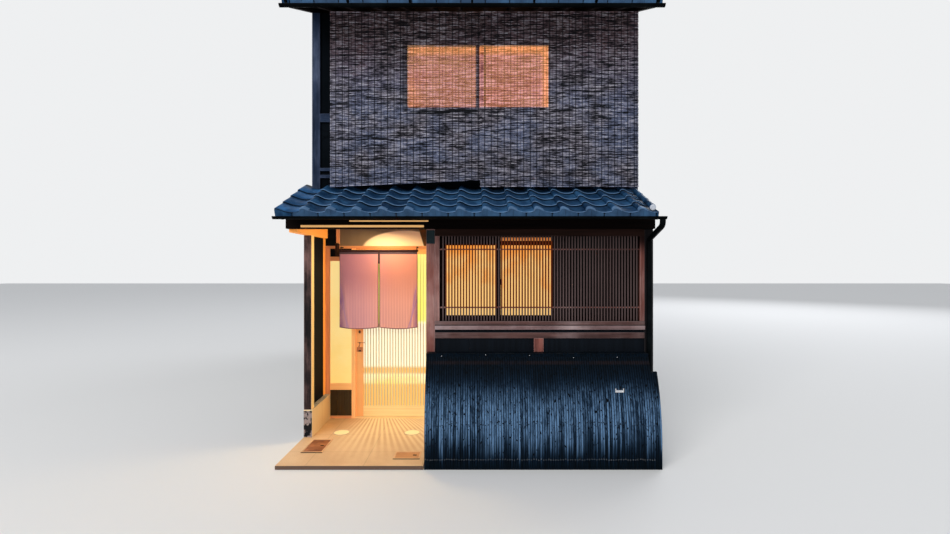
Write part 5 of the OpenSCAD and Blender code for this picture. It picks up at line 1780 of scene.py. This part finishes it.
@dataclass
class Bay:
    """The bay: posts, girder, rail, dark panels, lattice, sashes and lit panes."""

    post_w: float = 0.096
    roof_slope: float = 0.42
    stile_w: float = 0.050
    sill_h: float = 0.092
    lip_h: float = 0.043
    lip_gap: float = 0.009
    rail_h: float = 0.078
    board_h: float = 0.081
    rail_gap: float = 0.017
    panel_w: float = 0.388
    sill_out: float = 0.022
    lattice_d: float = 0.050
    bar_w: float = 0.015
    bar_d: float = 0.024
    bar_pitch: float = 0.0327
    bar_x: float = 0.0888
    cross_h: float = 0.014
    cross_low: float = 0.236
    cross_high: float = 0.232
    jamb_w: float = 0.0862
    sash_w: float = 0.622
    sash_stile: float = 0.052
    stud_w: float = 0.107
    stud_x: float = 1.10

    def build(self) -> None:
        """Builds the bay from its posts inwards."""
        low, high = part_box("bay_posts")
        for x, name, finish, replaces in ((low.x, "bay_post_left", RED_WOOD, ["bay_posts"]),
                                          (high.x - self.post_w, "bay_post_right", SHADED_POST, [])):
            post = Shape().block((x, low.y, low.z), (x + self.post_w, high.y, high.z), Axis.Z, 0.005, 0.35)
            put(name, post, finish, "red_wood", *replaces)
        plate = Shape().block((low.x + 0.002, low.y - 0.004, 2.366), (low.x + 0.094, low.y, 2.516), Axis.Z,
                              0.0015)
        put("post_plate", plate, ENAMEL, "black_metal")
        self.build_girder(low.x - 0.02)
        self.build_rail()
        self.build_lattice()
        self.build_sashes()
        dress({"bay_window_glass": BAY_PANE})

    def build_girder(self, reach: float) -> None:
        """The eave girder, whose top follows the pent roof, and its battens, as far as the bay."""
        low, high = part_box("eave_girder")
        lift, ease = self.roof_slope * (high.y - low.y), 0.004
        outline = [(low.y + ease, low.z), (high.y - ease, low.z), (high.y, low.z + ease), (high.y, high.z),
                   (low.y, high.z - lift), (low.y, low.z + ease)]
        put("eave_beam", Shape().prism(outline, Axis.X, low.x, high.x, tone=0.25), GIRDER_WOOD, "dark_wood",
            "eave_girder")
        strip = Shape().block((low.x + 0.166, low.y - 0.006, low.z + 0.014), (reach, low.y, low.z + 0.038))
        strip.block((-1.38, low.y - 0.005, low.z + 0.076), (reach + 0.05, low.y, low.z + 0.090), Axis.X,
                    0.002, 0.4)
        put("girder_batten", strip, BATTEN_WOOD, "warm_wood")

    def build_rail(self) -> None:
        """The rail under the lattice, a dark strip of painted shade under its sill, its stud and the dark
        panels.
        """
        low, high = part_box("bay_rail")
        foot, shadow, x = high.z - self.board_h, high.z - self.rail_gap, low.x + self.stud_x
        rail = Shape().block((low.x, low.y, foot), (high.x, high.y, shadow), Axis.X, 0.003, 0.15)
        put("bay_rail_board", rail, RAIL_WOOD, "red_wood", "bay_rail")
        # Painted shade: a recessed strip in dark board finish for the shadow under the sill
        gap = Shape().block((low.x, (low.y + high.y) / 2, shadow), high, Axis.X, 0.001)
        put("bay_rail_gap", gap, DARK_BOARD, "red_wood")
        stud = Shape().block((x, low.y, low.z), (x + self.stud_w, high.y, foot), Axis.Z, 0.003, 0.6)
        put("bay_stud", stud, RED_WOOD, "red_wood")
        low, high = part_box("bay_wall")
        count, step = spread_even(low.x, high.x, self.panel_w)
        board = Shape().block((0.0, low.y, low.z), (step - 0.001, high.y, high.z), Axis.Z, 0.0015)
        put("bay_panels", board, DARK_BOARD, "dark_board", "bay_wall",
            copies=along_x(count, low.x, step, 111))

    def build_lattice(self) -> None:
        """The lattice's heavy frame, projecting sill, close bars and two cross bars."""
        (left, y0, base), (right, _, top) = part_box("window_lattice")
        front = y0 + self.sill_out
        back, lip = front + self.lattice_d, base + self.lip_h
        sill, head = base + self.sill_h, top - self.rail_h
        frame_members = Shape()
        for x, tone in ((left, 0.2), (right - self.stile_w, 0.7)):
            frame_members.block((x, front, sill), (x + self.stile_w, back, head), Axis.Z, 0.003, tone)
        put("lattice_frame", frame_members, RED_WOOD, "red_wood", "window_lattice")
        rails = Shape().block((left, front, head), (right, back, top), Axis.X, 0.003, 0.5)
        rails.block((left, front + 0.001, base), (right, back, sill), Axis.X, 0.003, 0.4)
        put("lattice_rails", rails, HEAD_WOOD, "red_wood")
        nose = Shape().block((left, y0, base), (right, front + 0.001, lip), Axis.X, 0.003, 0.75)
        put("lattice_sill_lip", nose, SILL_WOOD, "red_wood")
        board = Shape().block((left, y0 + 0.010, lip + self.lip_gap), (right, front + 0.001, sill), Axis.X,
                              0.004, 0.9)
        put("lattice_sill", board, RAIL_WOOD, "red_wood")
        x0, x1, first = left + self.stile_w, right - self.stile_w, left + self.bar_x
        count = 1 + math.floor((x1 - self.bar_w / 2 - first) / self.bar_pitch)
        y, half = front + (self.lattice_d - self.bar_d) / 2, self.bar_w / 2
        slat = Shape().block((-half, y, sill), (half, y + self.bar_d, head), Axis.Z, 0.0015)
        # Painted highlight: each bar's front face takes the pale worn colour
        slat.edge[FRONT] = 1.0
        put("lattice_bars", slat, BAR_WOOD, "red_wood",
            copies=along_x(count, first, self.bar_pitch, 113, jitter=(0.0006, 0.0004, 0.0)))
        cross = Shape()
        for z, tone in ((base + self.cross_low, 0.3), (top - self.cross_high, 0.6)):
            cross.block((x0, y + self.bar_d / 2, z),
                        (x1, y + self.bar_d + self.cross_h / 2, z + self.cross_h), Axis.X, 0.0015, tone)
        put("lattice_cross_bars", cross, RED_WOOD, "red_wood")

    def build_sashes(self) -> None:
        """The sashes behind the lattice, with deeper rails and a small pull."""
        (x0, y0, base), (x1, y1, top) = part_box("bay_window_frame")
        stile, z0, z1 = self.sash_stile, base + self.sill_h, top - self.rail_h
        first = x0 + self.jamb_w + stile / 2
        sashes = Shape().block((x0, y0, base), (x1, y1, z0), Axis.X, 0.001, 0.1)
        sashes.block((x0, y0, z1), (x1, y1, top), Axis.X, 0.001, 0.2)
        sashes.block((x0, y0, z0), (first, y1, z1), Axis.Z, 0.001, 0.3)
        for k in range(4):
            left = first + k * self.sash_w
            right = min(left + self.sash_w - stile, x1 - stile)
            sashes.block((right, y0, z0), (min(right + stile, x1), y1, z1), Axis.Z, 0.002, 0.4 + 0.1 * k)
            for tone, a, b in ((0.5, z0, z0 + 0.060), (0.7, z1 - (0.012 if k else 0.10), z1)):
                sashes.block((left, y0 + 0.008, a), (right, y1 - 0.004, b), Axis.X, 0.002, tone + 0.1 * k)
            if k == 1:
                head = Shape().block((left, y0 + 0.008, z1 - 0.10), (right, y1 - 0.004, z1 - 0.049), Axis.X,
                                     0.002, 0.3)
                put("bay_sash_head", head, SASH_HEAD, "red_wood")
        x = first + self.sash_w
        sashes.block((x - 0.008, y0 - 0.004, 1.905), (x + 0.018, y0 + 0.004, 1.972), Axis.Z, 0.002, 0.9)
        put("bay_sashes", sashes, SASH_WOOD, "red_wood", "bay_window_frame")


@dataclass
class LeaningFence:
    """The curved fence of split laths in front of the bay, with its cap, nails and small plate."""

    curve_z: float = 0.24
    radius: float = 1.8
    lath_w: float = 0.025
    lath_t: float = 0.010
    sheet_t: float = 0.014
    cap_t: float = 0.018
    notch_x: float = 1.882
    notch_h: float = 0.19
    steps: int = 14
    clip: Span = (1.527, 0.812)

    def __post_init__(self) -> None:
        """Reads the fence's box."""
        self.low, self.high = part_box("leaning_fence")
        self.top = self.high.z - self.cap_t

    def surface(self, z: float, inset: float = 0.0) -> float:
        """The Y of the fence's face at a height, or of a layer at an inset behind it."""
        reach = self.radius - inset
        if z <= self.curve_z:
            return self.low.y + inset
        return self.low.y + self.radius - math.sqrt(max(reach ** 2 - (z - self.curve_z) ** 2, 0.0))

    def levels(self, top: float, steps: int) -> list[float]:
        """Heights up the curve, from its start to a top."""
        return [self.curve_z + (top - self.curve_z) * i / steps for i in range(steps + 1)]

    def build(self) -> None:
        """Builds the laths, the backing, the cap and the nails."""
        low, high, notch_top = self.low, self.high, self.high.z - self.notch_h
        self.lay_laths("fence_laths", low.x, self.notch_x, self.top, 121, "leaning_fence")
        self.lay_tips()
        self.lay_laths("fence_notch_laths", self.notch_x, high.x, notch_top, 123)
        backing = Shape()
        for x0, x1, z1 in ((low.x + 0.004, self.notch_x, self.top),
                           (self.notch_x, high.x - 0.004, notch_top)):
            levels = [0.002] + self.levels(z1, 8)
            outline = [(self.surface(z, self.lath_t * 0.8), z) for z in levels]
            outline += [(self.surface(z, self.lath_t + self.sheet_t), z) for z in reversed(levels)]
            backing.prism(outline, Axis.X, x0, x1, Axis.Z, 0.4)
        put("fence_backing", backing, LATH_WOOD, "black_lath")
        cap = Shape().block((low.x, self.surface(self.top) + 0.006, self.top),
                            (self.notch_x, high.y, high.z - 0.008),
                            Axis.X, 0.003, 0.5)
        put("fence_cap", cap, LATH_WOOD, "black_lath")
        self.lay_nails()
        (x, z), clip = self.clip, Shape()
        y = self.surface(z) - 0.006
        for a, b, low_z, high_z in ((-0.046, 0.046, -0.030, -0.006), (-0.046, -0.036, -0.006, 0.012),
                                    (0.036, 0.046, -0.006, 0.012)):
            clip.block((x + a, y - 0.004, z + low_z), (x + b, y + 0.004, z + high_z), Axis.X, 0.001)
        put("fence_clip", clip, PALE_METAL, "steel_rail")

    def lay_laths(self, name: str, x0: float, x1: float, top: float, seed: int, *replaces: str) -> None:
        """One field of laths of the same height.

        Args:
            name: The piece's name.
            x0: Where the field starts.
            x1: Where it ends.
            top: The laths' top.
            seed: The seed of their disorder.
            replaces: The CAD nodes that the field stands for.
        """
        count, step = spread_even(x0, x1, self.lath_w)
        half = step / 2 - 0.0016
        profile = ((-half, self.lath_t), (-half, 0.0022), (-half * 0.55, 0.0005), (half * 0.2, 0.0),
                   (half * 0.8, 0.0012), (half, 0.003), (half, self.lath_t))
        rows = [[(x, self.surface(z, inset), z) for x, inset in profile]
                for z in [0.0] + self.levels(top, self.steps)]
        lath = Shape().skin(rows, Axis.Z)
        # Points at the lath's sides, for painted shade between the laths
        lath.side = [1.0 if abs(x) > half * 0.9 else 0.0 for x, _, _ in lath.points]
        put(name, lath, LATH, "black_lath", *replaces,
            copies=along_x(count, x0 + step / 2, step, seed, jitter=(0.0006, 0.0, 0.0),
                           waver=(0.0018, 0.0, 0.0),
                           waver_scale=(14.0, 1.0, 2.5)))

    def lay_tips(self) -> None:
        """The split ends of the laths, ragged above the cap board."""
        x, top = self.low.x, self.top
        count, step = spread_even(x, self.notch_x, self.lath_w * 0.62)
        front = self.surface(top - 0.02) - 0.001
        tip = Shape().block((-step * 0.46, front, top - 0.030), (step * 0.46, front + 0.009, top + 0.008),
                            Axis.Z, 0.001)
        put("fence_tips", tip, LATH, "black_lath",
            copies=along_x(count, x + step / 2, step, 127, jitter=(0.001, 0.0012, 0.009)))

    def lay_nails(self) -> None:
        """Nail heads in rows: pale tacks near the foot, dark nails half way, a few pale ones on the cap."""
        count, step = spread_even(self.low.x, self.notch_x, self.lath_w)
        x, z = self.low.x, self.high.z
        for name, n, start, pitch, z, wide, tall, stray, finish, slot in (
                ("fence_tacks", count, x + step / 2, step, 0.105, 0.0010, 0.0070, 0.006, PALE_METAL,
                 "steel_rail"),
                ("fence_nails", count, x + step / 2, step, 0.46, 0.0062, 0.0048, 0.034, DARK_NAIL,
                 "black_metal"),
                ("cap_nails", 5, x + 0.17, 0.4755, z - 0.045, 0.0040, 0.0040, 0.03, PALE_METAL,
                 "steel_rail")):
            y = self.surface(z) - (0.003 if n < count else 0.0)
            head = Shape().skin([[(r * wide * c, y - d, z + r * tall * s) for c, s in turns(8)]
                                 for r, d in ((1.0, -0.002), (1.0, 0.0006), (0.55, 0.0016))], Axis.Y)
            put(name,
                head, finish, slot, copies=along_x(n, start, pitch, 131 + n, jitter=(0.003, 0.0, stray)))


@dataclass
class Walls:
    """The party walls, the rear wall with its boards, and the floors."""

    board_w: float = 0.18
    board_t: float = 0.008
    floor_board: float = 0.2
    margin: float = 0.02

    def build(self) -> None:
        """Dresses the walls and floors and clads the rear."""
        dress({"left_wall": PARTY_WALL, "right_wall": PARTY_WALL, "rear_wall": DARK_PLASTER,
               "ground_floor": CONCRETE})
        low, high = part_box("upper_floor")
        count, step = spread_even(low.x, high.x, self.floor_board)
        board = Shape().block((0.0, low.y, low.z), (step - 0.001, high.y, high.z), Axis.Y, 0.001)
        put("upper_floor_boards", board, CEILING_WOOD, "dark_wood", "upper_floor",
            copies=along_x(count, low.x, step, 141))
        self.clad_rear()

    def clad_rear(self) -> None:
        """Upright charred boards round the two rear windows."""
        low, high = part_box("rear_wall")
        base, top, gap = low.z + 0.02, high.z - 0.012, self.margin
        corners = [q for q in spots("window_frames") if q.y > 1.0]
        window_low, window_high = extent(corners)
        split = (window_low[2] + window_high[2]) / 2
        lower, upper = [q.z for q in corners if q.z < split], [q.z for q in corners if q.z > split]
        left, right = window_low[0] - gap, window_high[0] + gap
        levels = ((base, min(lower) - gap), (max(lower) + gap, min(upper) - gap), (max(upper) + gap, top))
        zones = [(low.x, left, base, top), (right, high.x, base, top)] + [(left, right, *z) for z in levels]
        for k, (x0, x1, z0, z1) in enumerate(zones):
            if z1 - z0 < self.margin:
                continue
            count, step = spread_even(x0, x1, self.board_w)
            board = Shape().block((0.0, high.y, z0), (step - 0.003, high.y + self.board_t, z1), Axis.Z)
            put(f"rear_boards_{k}", board, CHAR_BOARD, "dark_board",
                copies=along_x(count, x0, step, 151 + k, jitter=(0.0005, 0.0006, 0.0)))


@dataclass
class Stage:
    """The plain floor, the soft lamps, the world and the camera."""

    eye: Point = (0.0, -6.255, 2.107)
    sensor: float = 36.0
    focal_px: float = 515.0
    frame_px: float = 950.0
    reach: float = 60.0
    floor_z: float = -0.001

    def build(self) -> None:
        """Makes the floor, the light and the camera."""
        floor = bpy.data.meshes.new("floor")
        corners = ((-1, -1), (1, -1), (1, 1), (-1, 1))
        floor.from_pydata([(self.reach * a, self.reach * b, self.floor_z) for a, b in corners], [],
                          [range(4)])
        floor.materials.append(Paint("stage floor", Base_Color=(0.78, 0.78, 0.78, 1.0),
                                     Roughness=0.9).material)
        self.link("floor", floor)
        self.light()
        lens = bpy.data.cameras.new("photo_view")
        lens.sensor_width = self.sensor
        lens.lens = self.sensor * self.focal_px / self.frame_px
        lens.clip_end = 200.0
        camera = self.link("photo_view", lens)
        camera.location = self.eye
        camera.rotation_euler = (math.pi / 2, 0.0, 0.0)
        bpy.context.scene.camera = camera
        bpy.context.scene.view_settings.view_transform = "Standard"

    def link(self, name: str, data: bpy.types.ID) -> bpy.types.Object:
        """A new object in the scene."""
        thing = bpy.data.objects.new(name, data)
        bpy.context.scene.collection.objects.link(thing)
        return thing

    def light(self) -> None:
        """Soft white light from the world and two wide lamps, and the porch's own warm lamp."""
        world = bpy.data.worlds.new("studio")
        bpy.context.scene.world = world
        world.use_nodes = True
        t = Tree(world.node_tree)
        rays = t.node("ShaderNodeLightPath", {}, {}).outputs
        seen, through, mirrored = (Val(t, rays[f"Is {kind} Ray"])
                                   for kind in ("Camera", "Transmission", "Glossy"))
        plain = seen.math("MAXIMUM", seen.math("MAXIMUM", seen, through), mirrored)
        soft = t.val("ShaderNodeBackground", {}, {"Color": (0.93, 0.96, 1.0, 1.0), "Strength": 0.62})
        white = t.val("ShaderNodeBackground", {}, {"Color": (0.86, 0.87, 0.88, 1.0)})
        t.node("ShaderNodeOutputWorld",
               {}, {0: t.val("ShaderNodeMixShader", {}, {0: plain, 1: soft, 2: white})})
        self.lamp("key", (-11.0, -19.0, 14.4), (0.0, 1.0, 2.6), 12.0, 3600.0, (1.0, 0.98, 0.95))
        self.lamp("fill", (16.0, 20.0, 15.0), (0.0, 4.0, 3.0), 14.0, 2000.0, (0.95, 0.97, 1.0))
        self.lamp("porch", (-1.15, 0.30, 2.62), (-1.45, 0.10, 0.0), 0.35, 19.0, (1.0, 0.75, 0.37))

    def lamp(self, name: str, place: Point, aim: Point, size: float, power: float, colour: Colour) -> None:
        """One square soft lamp.

        Args:
            name: Its name.
            place: Where it hangs.
            aim: The point that it faces.
            size: Its side.
            power: Its power in watts.
            colour: Its colour.
        """
        light = bpy.data.lights.new(name, "AREA")
        light.size = size
        light.energy = power
        light.color = colour
        lamp = self.link(name, light)
        lamp.location = place
        lamp.rotation_euler = (Vector(aim) - Vector(place)).to_track_quat("-Z", "Y").to_euler()


def main() -> None:
    """Builds every part of the house in order."""
    parts = (Stage(),
             TileRoof("pent_roof", "pent", seed=11, lead=0.957, strip=0.756, roll_x=3.90),
             TileRoof("roof_front", "front_roof", seed=23),
             TileRoof("roof_rear", "rear_roof", side=1, seed=37),
             Ridge(), Gutters(), UpperFront(),
             Blind("blind_left", "left_blind", 41, slant=0.085),
             Blind("blind_right", "right_blind", 47),
             Porch(), DoorRow(), EntryDoor(), Noren(), Bay(), LeaningFence(), Walls())
    for part in parts:
        part.build()


if __name__ == "__main__":
    main()
